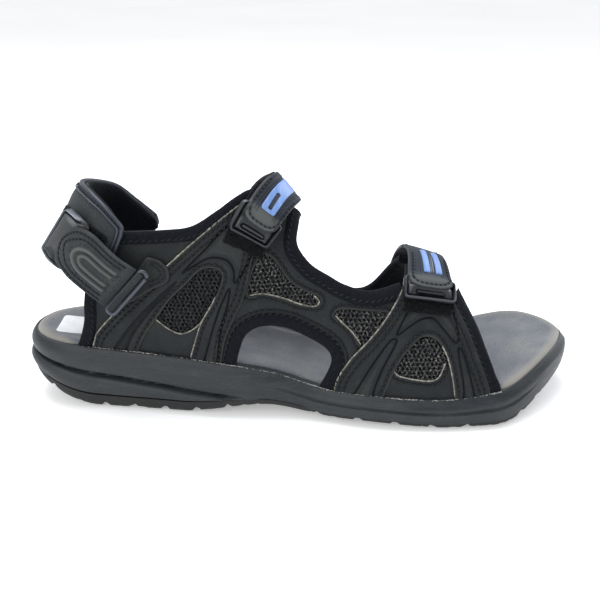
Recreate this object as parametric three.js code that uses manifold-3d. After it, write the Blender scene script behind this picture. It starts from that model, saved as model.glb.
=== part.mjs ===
// Strappy sport sandal for the right foot, with three hook-and-loop straps.
// Millimetres. +X points to the toe, +Y to the inner (medial) side, +Z up.
// The origin is on the ground, under the middle of the sole.
import * as THREE from 'three';
import { mergeVertices } from 'three/addons/utils/BufferGeometryUtils.js';
import Module from 'manifold-3d';

const wasm = await Module();
wasm.setup();

// ---------------------------------------------------------------- driving dimensions
const HALF_LENGTH = 145;
const HEEL_TIP_Y = -1;
const TOE_TIP_Y = 7;
const HEEL_ROUNDNESS = 2.2;
const OUTER_TOE_ROUNDNESS = 1.4; // the toe slants back to the little toe
const INNER_TOE_ROUNDNESS = 1.9;
const OUTER = -1; // the side of the little toe
const INNER = 1; // the side of the big toe

// Widest line of the sole: [x, y] on each side, between the rounded heel and toe.
const OUTER_EDGE = [[-105, -30.5], [-70, -35.5], [-35, -40.5], [0, -42.5],
  [35, -52], [70, -54.5], [96, -52]];
const INNER_EDGE = [[-105, 32.5], [-70, 34], [-35, 31], [0, 30.5],
  [35, 40.5], [70, 50.5], [96, 54]];
// Height of the joint between upper and sole, and of the tread, along the sole.
const RIM = [[-145, 36], [-105, 33], [-60, 30], [-20, 25], [10, 17],
  [35, 16], [70, 15], [100, 18.5], [125, 26], [145, 28]];
const TREAD = [[-145, 15], [-122, 4], [-105, 0], [-60, 0], [-20, 6], [10, 2],
  [35, 2], [70, 0], [105, 0], [125, 8], [145, 15]];
// Height of the foot's crest above the ground, along the foot.
const CREST = [[-145, 228], [-90, 228], [-60, 188], [-35, 140], [-8, 101],
  [20, 84], [65, 67.5], [100, 55], [125, 47], [145, 42]];

const FOOT_INSET = 8; // from the sole's widest line to the lining's inner face
const FOOT_SINK = 3; // the foot's widest line lies this far under the rim
const CREST_SHIFT = 1.5; // the crest leans to the inner side

// Layers of the upper, as distances out from the lining's inner face: [in, out].
const LINING = [0, 1.6];
const SHELL = [1.9, 3.1];
const OVERLAY = [3.4, 4.6];
const BINDING = [0, 4.3];
const LOOP_PATCH = [4.9, 5.7];
const HOOK_PATCH = [6.2, 7];
const STRAP = [7.3, 9.5];
const STRAP_END = [7.3, 10.6];
const INLAY = [9.8, 10.5];
const ROOT_DROP = 2.1; // the strap lies this much closer to the foot at its sewn end

const BINDING_WIDTH = 6;
const SEAM_GAP = 0.4;
const RIM_GAP = 0.6;
const CHORD_ERROR = 0.14;
const LONGEST_EDGE = 22;

// Sole stack, as depths under the rim.
const CUP_DEPTH = 5.7;
const CUP_INSET = 8.3;
const BED_INSET = 8.6;
const OUTSOLE_SHARE = 0.22; // of the sole's height
const SHANK = { from: -72, to: 22, halfWidth: 9, thickness: 1.2 };

const group = new THREE.Group();

// ---------------------------------------------------------------- finishes
const FINISH = {
  nubuck: { color: 0x2f3335, roughness: 0.85, metalness: 0 },
  lining: { color: 0x1b1f2a, roughness: 0.95, metalness: 0 },
  mesh: { color: 0x232730, roughness: 0.9, metalness: 0 },
  binding: { color: 0x1d212b, roughness: 0.95, metalness: 0 },
  hookLoop: { color: 0x0f1117, roughness: 1, metalness: 0 },
  moulded: { color: 0x3a3d3e, roughness: 0.5, metalness: 0 },
  inlay: { color: 0x7f9fd0, roughness: 0.45, metalness: 0 },
  rubber: { color: 0x2c2b2a, roughness: 0.8, metalness: 0 },
  foam: { color: 0x33373a, roughness: 0.7, metalness: 0 },
  microsuede: { color: 0x8a8a88, roughness: 0.95, metalness: 0 },
  cushion: { color: 0x55585c, roughness: 0.9, metalness: 0 },
  board: { color: 0xa99b80, roughness: 0.9, metalness: 0 },
  steel: { color: 0x9a9ea2, roughness: 0.35, metalness: 1 },
  label: { color: 0xf0f0ee, roughness: 0.6, metalness: 0 },
};

function addPart(name, geometry, finish) {
  const mesh = new THREE.Mesh(geometry, new THREE.MeshStandardMaterial(FINISH[finish]));
  mesh.name = name;
  group.add(mesh);
}

// ---------------------------------------------------------------- curves and tables
// A smooth curve through a table of [x, value], read at x.
function along(table, x) {
  const last = table.length - 1;
  const slope = (k) => {
    const a = table[Math.max(k - 1, 0)];
    const b = table[Math.min(k + 1, last)];
    return (b[1] - a[1]) / (b[0] - a[0]);
  };
  let i = 0;
  while (i < last - 1 && x > table[i + 1][0]) i += 1;
  const [x0, y0] = table[i];
  const [x1, y1] = table[i + 1];
  const h = x1 - x0;
  const t = THREE.MathUtils.clamp((x - x0) / h, 0, 1);
  const t2 = t * t;
  const t3 = t2 * t;
  return (2 * t3 - 3 * t2 + 1) * y0 + (t3 - 2 * t2 + t) * h * slope(i)
    + (3 * t2 - 2 * t3) * y1 + (t3 - t2) * h * slope(i + 1);
}

// A smooth open line through [x, z] points, with a given number of steps per span.
function smooth(points, steps = 3) {
  if (points.length < 2) return points;
  const curve = new THREE.SplineCurve(points.map(([x, z]) => new THREE.Vector2(x, z)));
  return curve.getPoints(steps * (points.length - 1)).map((p) => [p.x, p.y]);
}

// The same line moved sideways by a distance, to its left as it is walked.
function shifted(line, distance) {
  return line.map((p, i) => {
    const a = line[Math.max(i - 1, 0)];
    const b = line[Math.min(i + 1, line.length - 1)];
    const length = Math.hypot(b[0] - a[0], b[1] - a[1]);
    return [p[0] - (distance * (b[1] - a[1])) / length, p[1] + (distance * (b[0] - a[0])) / length];
  });
}

const reversed = (line) => [...line].reverse();

// ---------------------------------------------------------------- sole and foot shapes
// Sideways position of the sole's outline, moved in by a distance.
function soleEdge(x, side, inset) {
  const table = side === OUTER ? OUTER_EDGE : INNER_EDGE;
  const first = table[0];
  const last = table[table.length - 1];
  if (x < first[0]) {
    const u = Math.min((first[0] - x) / (first[0] + HALF_LENGTH - inset), 1);
    const round = (1 - u ** HEEL_ROUNDNESS) ** (1 / HEEL_ROUNDNESS);
    return HEEL_TIP_Y + (first[1] - side * inset - HEEL_TIP_Y) * round;
  }
  if (x > last[0]) {
    const u = Math.min((x - last[0]) / (HALF_LENGTH - inset - last[0]), 1);
    const power = side === OUTER ? OUTER_TOE_ROUNDNESS : INNER_TOE_ROUNDNESS;
    const round = (1 - u ** power) ** (1 / power);
    return TOE_TIP_Y + (last[1] - side * inset - TOE_TIP_Y) * round;
  }
  return along(table, x) - side * inset;
}

const rim = (x) => along(RIM, x);
const tread = (x) => Math.max(along(TREAD, x), 0);

// A point on the foot, reached by its place along the foot and an angle round it:
// 0 degrees is the outer rim, 90 the crest and 180 the inner rim.
function aroundFoot(x, degrees) {
  const angle = THREE.MathUtils.degToRad(degrees);
  const outer = soleEdge(x, OUTER, FOOT_INSET);
  const inner = soleEdge(x, INNER, FOOT_INSET);
  const crestY = (outer + inner) / 2 + CREST_SHIFT;
  const low = rim(x) - FOOT_SINK;
  const c = Math.cos(angle);
  const y = c > 0 ? crestY + (outer - crestY) * c : crestY - (inner - crestY) * c;
  return new THREE.Vector3(x, y, low + (along(CREST, x) - low) * Math.sin(angle));
}

function offsetAroundFoot(x, degrees, distance) {
  const acrossFoot = aroundFoot(x, degrees + 0.5).sub(aroundFoot(x, degrees - 0.5));
  const alongFoot = aroundFoot(x + 0.5, degrees).sub(aroundFoot(x - 0.5, degrees));
  const out = alongFoot.cross(acrossFoot).normalize();
  return aroundFoot(x, degrees).addScaledVector(out, distance);
}

// The same surface, reached by a height above the ground on one side of the foot.
function degreesAtHeight(x, z, side) {
  const low = rim(x) - FOOT_SINK;
  const share = THREE.MathUtils.clamp((z - low) / (along(CREST, x) - low), -0.2, 0.995);
  const degrees = THREE.MathUtils.radToDeg(Math.asin(share));
  return side === OUTER ? degrees : 180 - degrees;
}

const onUpper = (x, z, side, distance) => offsetAroundFoot(x, degreesAtHeight(x, z, side), distance);

// ---------------------------------------------------------------- solids
function toGeometry(vertices, triangles) {
  const geometry = new THREE.BufferGeometry();
  const flat = vertices.flatMap((v) => [v.x, v.y, v.z]);
  geometry.setAttribute('position', new THREE.Float32BufferAttribute(flat, 3));
  geometry.setIndex(triangles.flat());
  return geometry;
}

function toSolid(geometry) {
  const bare = geometry.clone();
  bare.deleteAttribute('normal');
  bare.deleteAttribute('uv');
  const merged = mergeVertices(bare, 1e-4);
  return new wasm.Manifold(new wasm.Mesh({
    numProp: 3,
    vertProperties: new Float32Array(merged.attributes.position.array),
    triVerts: new Uint32Array(merged.index.array),
  }));
}

function fromSolid(solid) {
  const mesh = solid.getMesh();
  const geometry = new THREE.BufferGeometry();
  geometry.setAttribute('position', new THREE.Float32BufferAttribute(mesh.vertProperties, 3));
  geometry.setIndex(new THREE.Uint32BufferAttribute(mesh.triVerts, 1));
  return geometry;
}

// Stacked loops of equal length joined into one closed body, with both ends capped.
// Each loop runs heel to toe on the outer side and back on the inner side.
function loft(loops) {
  const n = loops[0].length;
  const triangles = [];
  for (let k = 0; k + 1 < loops.length; k += 1) {
    for (let i = 0; i < n; i += 1) {
      const j = (i + 1) % n;
      const [a, b, c, d] = [k * n + i, k * n + j, (k + 1) * n + j, (k + 1) * n + i];
      triangles.push([a, b, c], [a, c, d]);
    }
  }
  const top = (loops.length - 1) * n;
  for (let i = 0; i < n / 2 - 1; i += 1) {
    const [a, b, c, d] = [i, i + 1, n - 2 - i, (n - 1 - i) % n];
    triangles.push([a, c, b], [a, d, c]);
    triangles.push([top + a, top + b, top + c], [top + a, top + c, top + d]);
  }
  const usable = triangles.filter(([a, b, c]) => a !== b && b !== c && a !== c);
  return toGeometry(loops.flat(), usable);
}

// One loop of the sole's outline, moved in by a distance, at a height that depends on x.
function soleLoop(inset, height) {
  const stations = 30;
  const reach = HALF_LENGTH - inset;
  const place = (i) => -reach * Math.cos((Math.PI * i) / stations);
  const loop = [];
  for (let i = 0; i < stations; i += 1) {
    const x = place(i + 0.5);
    loop.push(new THREE.Vector3(x, soleEdge(x, OUTER, inset), height(x)));
  }
  for (let i = stations - 1; i >= 0; i -= 1) {
    const x = place(i + 0.5);
    loop.push(new THREE.Vector3(x, soleEdge(x, INNER, inset), height(x)));
  }
  return loop;
}

// Splits the triangles of a flat sheet until its mapped edges follow the surface closely.
function refine(points, triangles, surface) {
  let faces = relax(points, triangles);
  const key = (a, b) => (a < b ? `${a}_${b}` : `${b}_${a}`);
  for (let round = 0; round < 8; round += 1) {
    const middles = new Map();
    const tested = new Set();
    const test = (a, b) => {
      const name = key(a, b);
      if (tested.has(name)) return;
      tested.add(name);
      const middle = points[a].clone().add(points[b]).multiplyScalar(0.5);
      const ends = [surface(points[a]), surface(points[b])];
      const chord = ends[0].clone().add(ends[1]).multiplyScalar(0.5);
      const far = chord.distanceTo(surface(middle)) > CHORD_ERROR;
      if (far || ends[0].distanceTo(ends[1]) > LONGEST_EDGE) {
        middles.set(name, points.push(middle) - 1);
      }
    };
    faces.forEach(([a, b, c]) => {
      test(a, b);
      test(b, c);
      test(c, a);
    });
    if (middles.size === 0) break;
    const middleOf = (a, b) => middles.get(key(a, b));
    faces = relax(points, faces.flatMap((face) => splitFace(face, middleOf)));
  }
  return faces;
}

// Turns the shared edge of two neighbouring triangles where that makes them less slender.
function relax(points, triangles) {
  const faces = triangles.map((face) => [...face]);
  const owners = new Map();
  const key = (a, b) => `${a}_${b}`;
  faces.forEach(([a, b, c], i) => [[a, b, c], [b, c, a], [c, a, b]].forEach(([p, q, r]) => {
    owners.set(key(p, q), [i, r]);
  }));
  const angle = (at, p, q) => {
    const u = points[p].clone().sub(points[at]);
    const v = points[q].clone().sub(points[at]);
    return Math.abs(Math.atan2(u.cross(v), u.dot(v)));
  };
  const claim = (i) => {
    const [a, b, c] = faces[i];
    [[a, b, c], [b, c, a], [c, a, b]].forEach(([p, q, r]) => owners.set(key(p, q), [i, r]));
  };
  const waiting = [...owners.keys()];
  while (waiting.length > 0) {
    const [p, q] = waiting.pop().split('_').map(Number);
    const one = owners.get(key(p, q));
    const two = owners.get(key(q, p));
    if (!one || !two) continue;
    const [r, s] = [one[1], two[1]];
    if (angle(r, p, q) + angle(s, p, q) <= Math.PI + 1e-6) continue;
    faces[one[0]] = [r, p, s];
    faces[two[0]] = [s, q, r];
    owners.delete(key(p, q));
    owners.delete(key(q, p));
    claim(one[0]);
    claim(two[0]);
    waiting.push(key(r, p), key(p, s), key(s, q), key(q, r));
  }
  return faces;
}

function splitFace(face, middleOf) {
  const [a, b, c] = face;
  const middles = [middleOf(a, b), middleOf(b, c), middleOf(c, a)];
  const count = middles.filter((m) => m !== undefined).length;
  if (count === 0) return [face];
  if (count === 3) {
    const [ab, bc, ca] = middles;
    return [[a, ab, ca], [ab, b, bc], [ca, bc, c], [ab, bc, ca]];
  }
  if (middles[0] === undefined) return splitFace([b, c, a], middleOf);
  const [ab, bc, ca] = middles;
  if (count === 1) return [[a, ab, c], [ab, b, c]];
  if (bc === undefined) return splitFace([c, a, b], middleOf);
  return [[a, ab, c], [ab, b, bc], [ab, bc, c]];
}

// A panel of the upper: a flat outline of [x, height] with windows, bent round one side
// of the foot and given the thickness of its layer.
function panel(outline, windows, side, [inDistance, outDistance]) {
  const shape = new THREE.Shape(outline.map(([x, z]) => new THREE.Vector2(x, z)));
  windows.forEach((w) => shape.holes.push(new THREE.Path(w.map(([x, z]) => new THREE.Vector2(x, z)))));
  const flat = new THREE.ShapeGeometry(shape);
  const position = flat.attributes.position;
  const points = [];
  for (let i = 0; i < position.count; i += 1) {
    points.push(new THREE.Vector2(position.getX(i), position.getY(i)));
  }
  const index = Array.from(flat.index.array);
  const faces = [];
  for (let i = 0; i < index.length; i += 3) faces.push(index.slice(i, i + 3));
  const middle = (inDistance + outDistance) / 2;
  const fine = refine(points, faces, (p) => onUpper(p.x, p.y, side, middle));
  return thicken(points, fine, (p, distance) => onUpper(p.x, p.y, side, distance),
    side, inDistance, outDistance);
}

// Gives a sheet its thickness: an outer skin, an inner skin and a wall round every edge.
function thicken(points, faces, place, side, inDistance, outDistance) {
  const n = points.length;
  const outer = points.map((p) => place(p, outDistance));
  const inner = points.map((p) => place(p, inDistance));
  const triangles = [];
  const edges = new Map();
  faces.forEach(([a, b, c]) => {
    const face = side === OUTER ? [a, b, c] : [a, c, b];
    triangles.push(face, [face[0] + n, face[2] + n, face[1] + n]);
    for (let i = 0; i < 3; i += 1) {
      const [p, q] = [face[i], face[(i + 1) % 3]];
      if (!edges.delete(`${q}_${p}`)) edges.set(`${p}_${q}`, [p, q]);
    }
  });
  edges.forEach(([p, q]) => triangles.push([q, p, p + n], [q, p + n, q + n]));
  return toGeometry([...outer, ...inner], triangles);
}

// A slab from a grid: place(u, v, w) with u and v across the sheet, w 0 inside and 1 outside.
function slab(place, across, down) {
  const vertices = [];
  for (let w = 0; w < 2; w += 1) {
    for (let i = 0; i <= across; i += 1) {
      for (let j = 0; j <= down; j += 1) vertices.push(place(i / across, j / down, w));
    }
  }
  const skin = (across + 1) * (down + 1);
  const at = (i, j, w) => w * skin + i * (down + 1) + j;
  const triangles = [];
  const quad = (a, b, c, d) => triangles.push([a, b, c], [a, c, d]);
  for (let i = 0; i < across; i += 1) {
    for (let j = 0; j < down; j += 1) {
      quad(at(i, j, 1), at(i + 1, j, 1), at(i + 1, j + 1, 1), at(i, j + 1, 1));
      quad(at(i, j, 0), at(i, j + 1, 0), at(i + 1, j + 1, 0), at(i + 1, j, 0));
    }
    quad(at(i, 0, 0), at(i + 1, 0, 0), at(i + 1, 0, 1), at(i, 0, 1));
    quad(at(i, down, 1), at(i + 1, down, 1), at(i + 1, down, 0), at(i, down, 0));
  }
  for (let j = 0; j < down; j += 1) {
    quad(at(0, j, 1), at(0, j + 1, 1), at(0, j + 1, 0), at(0, j, 0));
    quad(at(across, j, 0), at(across, j + 1, 0), at(across, j + 1, 1), at(across, j, 1));
  }
  return toGeometry(vertices, triangles);
}

// ---------------------------------------------------------------- the sole
const soleHeight = (share) => (x) => tread(x) + share * (rim(x) - tread(x));
const underRim = (depth) => (x) => rim(x) - depth;

function crossGroove(x) {
  const groove = { halfWidth: 1.5, depth: 1.8, halfReach: 70 };
  const floor = tread(x) + groove.depth;
  const box = new THREE.BoxGeometry(2 * groove.halfWidth, 2 * groove.halfReach, 20);
  box.translate(x, 0, floor - 10);
  return toSolid(box);
}

function buildOutsole() {
  const grooveAt = [-128, -100, -84, -68, -52, -36, 8, 26, 44, 62, 80, 112, 124];
  const body = loft([
    soleLoop(4.5, tread),
    soleLoop(2.6, soleHeight(0.08)),
    soleLoop(1.6, soleHeight(OUTSOLE_SHARE)),
  ]);
  let solid = toSolid(body);
  grooveAt.forEach((x) => {
    solid = solid.subtract(crossGroove(x));
  });
  addPart('outsole', fromSolid(solid), 'rubber');
}

function shankSlab(halfWidth, from, to, topDepth, bottomDepth) {
  const place = (u, v, w) => {
    const x = THREE.MathUtils.lerp(from, to, u);
    const y = THREE.MathUtils.lerp(-halfWidth, halfWidth, v);
    return new THREE.Vector3(x, y - 2, rim(x) - (w ? topDepth : bottomDepth));
  };
  return slab(place, 12, 1);
}

function buildMidsole() {
  const gap = 0.3;
  const wall = loft([
    soleLoop(1.6, (x) => soleHeight(OUTSOLE_SHARE)(x) + gap),
    soleLoop(0, soleHeight(0.42)),
    soleLoop(1.7, soleHeight(0.58)),
    soleLoop(1.2, soleHeight(0.74)),
    soleLoop(3, rim),
    soleLoop(CUP_INSET, rim),
    soleLoop(CUP_INSET, underRim(CUP_DEPTH)),
  ]);
  const pocketDepth = CUP_DEPTH + SHANK.thickness + 2 * gap;
  const pocket = shankSlab(SHANK.halfWidth + gap, SHANK.from - gap, SHANK.to + gap,
    CUP_DEPTH - 1, pocketDepth);
  addPart('midsole', fromSolid(toSolid(wall).subtract(toSolid(pocket))), 'foam');
  const shankTop = CUP_DEPTH + gap;
  addPart('shank', shankSlab(SHANK.halfWidth, SHANK.from, SHANK.to,
    shankTop, shankTop + SHANK.thickness), 'steel');
}

function buildFootbed() {
  const layers = [
    ['insole_board', 5.4, 4.2, 'board'],
    ['footbed_foam', 3.9, 0.9, 'cushion'],
    ['footbed_cover', 0.6, -0.3, 'microsuede'],
  ];
  layers.forEach(([name, bottom, top, finish]) => {
    addPart(name, loft([soleLoop(BED_INSET, underRim(bottom)),
      soleLoop(BED_INSET, underRim(top))]), finish);
  });
}

function buildHeelLabel() {
  const label = { from: -130, to: -102, halfWidth: 11, lift: 0.7, thickness: 0.4 };
  const place = (u, v, w) => {
    const x = THREE.MathUtils.lerp(label.from, label.to, u);
    const y = THREE.MathUtils.lerp(-label.halfWidth, label.halfWidth, v);
    return new THREE.Vector3(x, y, rim(x) + label.lift + w * label.thickness);
  };
  addPart('heel_label', slab(place, 3, 1), 'label');
}

// ---------------------------------------------------------------- the upper's outlines
// Visible edges of the upper, as [x, height above ground], heel to toe.
const OUTER_CUT = {
  side: OUTER,
  prefix: 'outer',
  rear: [[-115, 34], [-112.5, 40], [-110.5, 48], [-110, 56], [-109, 63]],
  shoulder: [[-109, 63], [-99, 68.5], [-93, 76], [-88, 86], [-84, 95]],
  topline: [[-84, 95], [-68, 96], [-54, 98], [-42, 105], [-33, 111], [-26, 113.5], [-20, 109.5]],
  throat: [[-3, 93], [-3.5, 87], [-1, 82], [5, 76], [14, 71], [21, 67.5], [32, 64.5], [44, 65.5]],
  throatFront: [],
  vampTop: [[50, 66], [60, 65.5], [71, 62]],
  toeEdge: [[79, 59.5], [82, 54.5], [87, 46], [91, 37], [95, 28], [98, 20], [98, 16.6]],
  arch: [[-33, 27.8], [-31, 36], [-27.5, 44], [-20, 48], [-9, 47.2], [2, 43], [12, 38],
    [15.3, 33], [13.5, 26], [8.5, 18.2]],
  seam: [[24, 17], [27, 28], [35, 39], [43, 48.5], [50, 58]],
  quarterMesh: [[-49, 77], [-41, 77.5], [-39, 73], [-43.5, 61], [-48, 52], [-55, 45], [-62, 43.5],
    [-73, 49], [-65, 61], [-57, 69]],
  instepMesh: [[-21, 82], [-14.5, 80], [-7, 70], [1, 64.8], [9, 61.5], [8, 58], [-1, 58.5],
    [-9, 61.5], [-19, 64.5], [-26.5, 64], [-25, 72]],
  ballMesh: [[16.5, 53.5], [19.5, 56.5], [30, 56], [40.5, 53.5], [37, 48.5], [30.5, 41],
    [25.5, 46.5], [20, 51]],
  vampMesh: [[46, 29.5], [50, 36], [57, 43], [62, 44], [66.5, 41.5], [70.5, 34], [68, 27],
    [63, 24.4], [55, 25], [49, 27]],
  quarterOverlay: [[-107.5, 34], [-105, 39], [-99, 47], [-85, 61], [-63, 81], [-54, 88],
    [-46, 93], [-38, 98.3], [-30, 103], [-23, 101], [-27, 84], [-30, 62], [-35.5, 50], [-39.5, 40],
    [-40.5, 28.5]],
  vampOverlay: [[17, 17], [19, 23], [25, 33], [30.5, 40.2], [36.5, 47], [42, 53], [48.5, 60],
    [55, 62], [69, 58], [74, 50], [79, 41], [84.5, 31], [88, 23], [90, 17]],
};

const INNER_CUT = {
  side: INNER,
  prefix: 'inner',
  rear: [[-115, 34], [-112.5, 40], [-110.5, 48], [-110, 56], [-109, 62]],
  shoulder: [[-109, 62], [-101, 65.5], [-93, 69], [-85, 72], [-78.5, 74]],
  topline: [[-77, 76], [-66, 76.5], [-56, 78.5], [-47, 85], [-40, 92], [-33, 100], [-27, 106]],
  throat: [[-3, 86], [-3.5, 78], [-1, 69], [6, 59], [16, 51], [25, 46], [31, 44.3]],
  throatFront: [[31, 44.3], [36, 44.6], [41, 48], [46, 55], [50, 62]],
  vampTop: [[57, 62], [63, 64], [70, 62]],
  toeEdge: [[77, 58], [81, 51], [85, 43], [88, 34], [90, 25], [91, 17]],
  arch: [[-28, 27], [-25, 33.5], [-17, 36], [-7, 35.2], [2, 32], [7.5, 26], [8.5, 18.2]],
  seam: [[20, 17], [23, 24], [26, 30.5], [30, 37]],
  quarterMesh: [[-50, 68], [-43, 68], [-40, 64], [-43.5, 57], [-48, 50], [-55, 44], [-62, 43],
    [-72, 47], [-65, 56], [-57, 63]],
  instepMesh: [[-20, 76], [-14, 74], [-9, 64], [-3, 55], [3, 48], [-2, 44], [-12, 47],
    [-20, 50], [-26, 55], [-25, 66]],
  vampMesh: [[48, 29], [52, 36], [58, 42], [63, 42.5], [68, 39], [71, 33], [68, 27],
    [63, 24.4], [56, 25], [50, 27]],
  quarterOverlay: [[-107.5, 34], [-105, 39], [-99, 46], [-85, 57], [-66, 68], [-55, 70],
    [-48, 74], [-41, 80], [-35, 86], [-28, 90], [-25, 86], [-29, 72], [-31, 56], [-34.5, 43],
    [-37.5, 28]],
  vampOverlay: [[17, 17], [20, 22], [26, 29], [33, 35], [39, 36.8], [44, 40], [50, 46], [55, 53],
    [59, 57.5], [66, 56], [72, 49], [77, 41], [81, 32], [83, 24], [84, 17]],
};

// Runs along the rim from one x to another, just above the joint with the sole.
function rimRun(from, to, steps = 6) {
  const run = [];
  for (let i = 0; i <= steps; i += 1) {
    const x = THREE.MathUtils.lerp(from, to, i / steps);
    run.push([x, rim(x) + RIM_GAP]);
  }
  return run;
}

// Drops the part of a line that is under the rim, and ends it on the rim instead.
function aboveRim(line) {
  const kept = line.filter(([x, z]) => z > rim(x) + RIM_GAP + 1.5);
  const ground = ([x]) => [x, rim(x) + RIM_GAP];
  const first = line[0][1] < rim(line[0][0]) + 8;
  const last = line[line.length - 1][1] < rim(line[line.length - 1][0]) + 8;
  return [...(first ? [ground(line[0])] : []), ...kept, ...(last ? [ground(line[line.length - 1])] : [])];
}

// An overlay's outline starts and ends at the rim, and its foot follows the rim.
const footed = (outline) => {
  const heelEnd = outline[0][0];
  const toeEnd = outline[outline.length - 1][0];
  return [...outline.slice(1, -1), ...reversed(rimRun(heelEnd, toeEnd))];
};

const windowGrown = (outline, gap) => shifted([...outline, outline[0]], gap).slice(0, -1);

// Edges of the shell and lining, set back by the width of the binding that closes them.
function setBack(cut) {
  const back = BINDING_WIDTH + SEAM_GAP;
  return {
    rear: aboveRim(shifted(smooth(cut.rear), -back - SEAM_GAP)),
    shoulder: smooth(cut.shoulder),
    topline: shifted(smooth(cut.topline, 2), -back),
    throat: shifted(smooth(cut.throat, 2), -back),
    throatFront: cut.throatFront.length ? shifted(smooth(cut.throatFront, 2), -back).slice(1) : [],
    toeEdge: aboveRim(shifted(smooth(cut.toeEdge, 2), -back)),
    arch: aboveRim(shifted(smooth(cut.arch, 2), back)),
    seam: smooth(cut.seam, 2),
  };
}

function rearOutline(cut, edges) {
  const bottomFrom = edges.rear[0][0];
  const archFrom = edges.arch[0][0];
  const archTo = edges.arch[edges.arch.length - 1][0];
  const seamFoot = [cut.seam[0][0] - SEAM_GAP, rim(cut.seam[0][0]) + RIM_GAP];
  const seam = shifted(edges.seam, SEAM_GAP / 2).slice(1);
  return [
    ...rimRun(bottomFrom, archFrom).slice(0, -1),
    ...edges.arch,
    ...rimRun(archTo, seamFoot[0], 1).slice(1),
    ...seam,
    ...reversed(edges.throat),
    ...reversed(edges.topline),
    ...reversed(edges.shoulder.slice(1, -1)).filter(([x, z]) => z < 90 && x > -102),
    ...reversed(edges.rear).slice(0, -1),
  ];
}

function frontOutline(cut, edges) {
  const seam = shifted(edges.seam, -SEAM_GAP / 2);
  const foot = [seam[0][0], rim(seam[0][0]) + RIM_GAP];
  const toeFoot = edges.toeEdge[edges.toeEdge.length - 1][0];
  return [
    ...rimRun(foot[0], toeFoot, 5),
    ...reversed(edges.toeEdge).slice(1),
    ...reversed(smooth(cut.vampTop, 2)),
    ...reversed(edges.throatFront),
    ...reversed(seam).slice(0, -1),
  ];
}

// A strip of binding along a visible edge. The panels lie on its left-hand side.
function bindingStrip(name, line, width, side) {
  const edge = aboveRim(line);
  const back = aboveRim(shifted(line, width));
  const outline = width > 0 ? [...edge, ...reversed(back)] : [...back, ...reversed(edge)];
  addPart(name, panel(outline, [], side, BINDING), 'binding');
}

function buildBindings(cut) {
  const { prefix, side } = cut;
  bindingStrip(`${prefix}_rear_binding`, smooth(cut.rear), -BINDING_WIDTH, side);
  bindingStrip(`${prefix}_topline_binding`, smooth(cut.topline, 2), -BINDING_WIDTH, side);
  const throat = [...smooth(cut.throat, 2), ...smooth(cut.throatFront, 2).slice(1)];
  bindingStrip(`${prefix}_throat_binding`, throat, -BINDING_WIDTH, side);
  bindingStrip(`${prefix}_toe_binding`, smooth(cut.toeEdge, 2), -BINDING_WIDTH, side);
  bindingStrip(`${prefix}_arch_binding`, smooth(cut.arch, 2), BINDING_WIDTH, side);
}

function buildMeshPatches(cut) {
  const patches = ['quarterMesh', 'instepMesh', 'ballMesh', 'vampMesh'].filter((key) => cut[key]);
  patches.forEach((key) => {
    const name = `${cut.prefix}_${key.replace('Mesh', '_mesh')}`;
    addPart(name, panel(cut[key], [], cut.side, SHELL), 'mesh');
  });
}

function buildSide(cut) {
  const { prefix, side } = cut;
  const edges = setBack(cut);
  const rear = rearOutline(cut, edges);
  const front = frontOutline(cut, edges);
  const grown = (key) => windowGrown(cut[key], SEAM_GAP);
  const rearWindows = ['quarterMesh', 'instepMesh', 'ballMesh'].filter((key) => cut[key]).map(grown);
  addPart(`${prefix}_rear_lining`, panel(rear, [], side, LINING), 'lining');
  addPart(`${prefix}_front_lining`, panel(front, [], side, LINING), 'lining');
  addPart(`${prefix}_quarter`, panel(rear, rearWindows, side, SHELL), 'nubuck');
  addPart(`${prefix}_vamp`, panel(front, [grown('vampMesh')], side, SHELL), 'nubuck');
  addPart(`${prefix}_quarter_overlay`,
    panel(footed(cut.quarterOverlay), [grown('quarterMesh')], side, OVERLAY), 'nubuck');
  addPart(`${prefix}_vamp_overlay`,
    panel(footed(cut.vampOverlay), [grown('vampMesh')], side, OVERLAY), 'nubuck');
  buildMeshPatches(cut);
  buildBindings(cut);
}

// ---------------------------------------------------------------- straps over the foot
// Rear and front edges of each strap, as [degrees round the foot, x].
const INSTEP = {
  name: 'instep',
  rear: [[40, -36.5], [51, -31], [76, -23], [90, -20], [110, -22], [142, -34]],
  front: [[40, -20], [46, -17.5], [63, -11], [90, -5], [110, -7], [142, -17]],
  end: [42.5, 50],
  tab: [50.5, 88],
  strap: [89, 142],
  patch: [37, 74],
};
const TOE = {
  name: 'toe',
  rear: [[40, 49], [60, 49.5], [90, 51], [120, 50], [142, 49]],
  front: [[40, 72], [60, 73.5], [90, 72], [120, 72], [142, 71]],
  end: [52, 61],
  tab: [61.5, 88],
  strap: [89, 142],
  patch: [46, 76],
};

// How far the strap has come down towards its sewn end, from 0 to 1.
const rootShare = (degrees) => THREE.MathUtils.smoothstep(degrees, 80, 112);

function strapPiece(strap, [from, to], [inDistance, outDistance], margin, steps) {
  const place = (u, v, w) => {
    const degrees = THREE.MathUtils.lerp(from, to, v);
    const rear = along(strap.rear, degrees) + margin[0];
    const front = along(strap.front, degrees) - margin[1];
    const distance = (w ? outDistance : inDistance) - ROOT_DROP * rootShare(degrees);
    return offsetAroundFoot(THREE.MathUtils.lerp(rear, front, u), degrees, distance);
  };
  return slab(place, 3, steps);
}

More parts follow.
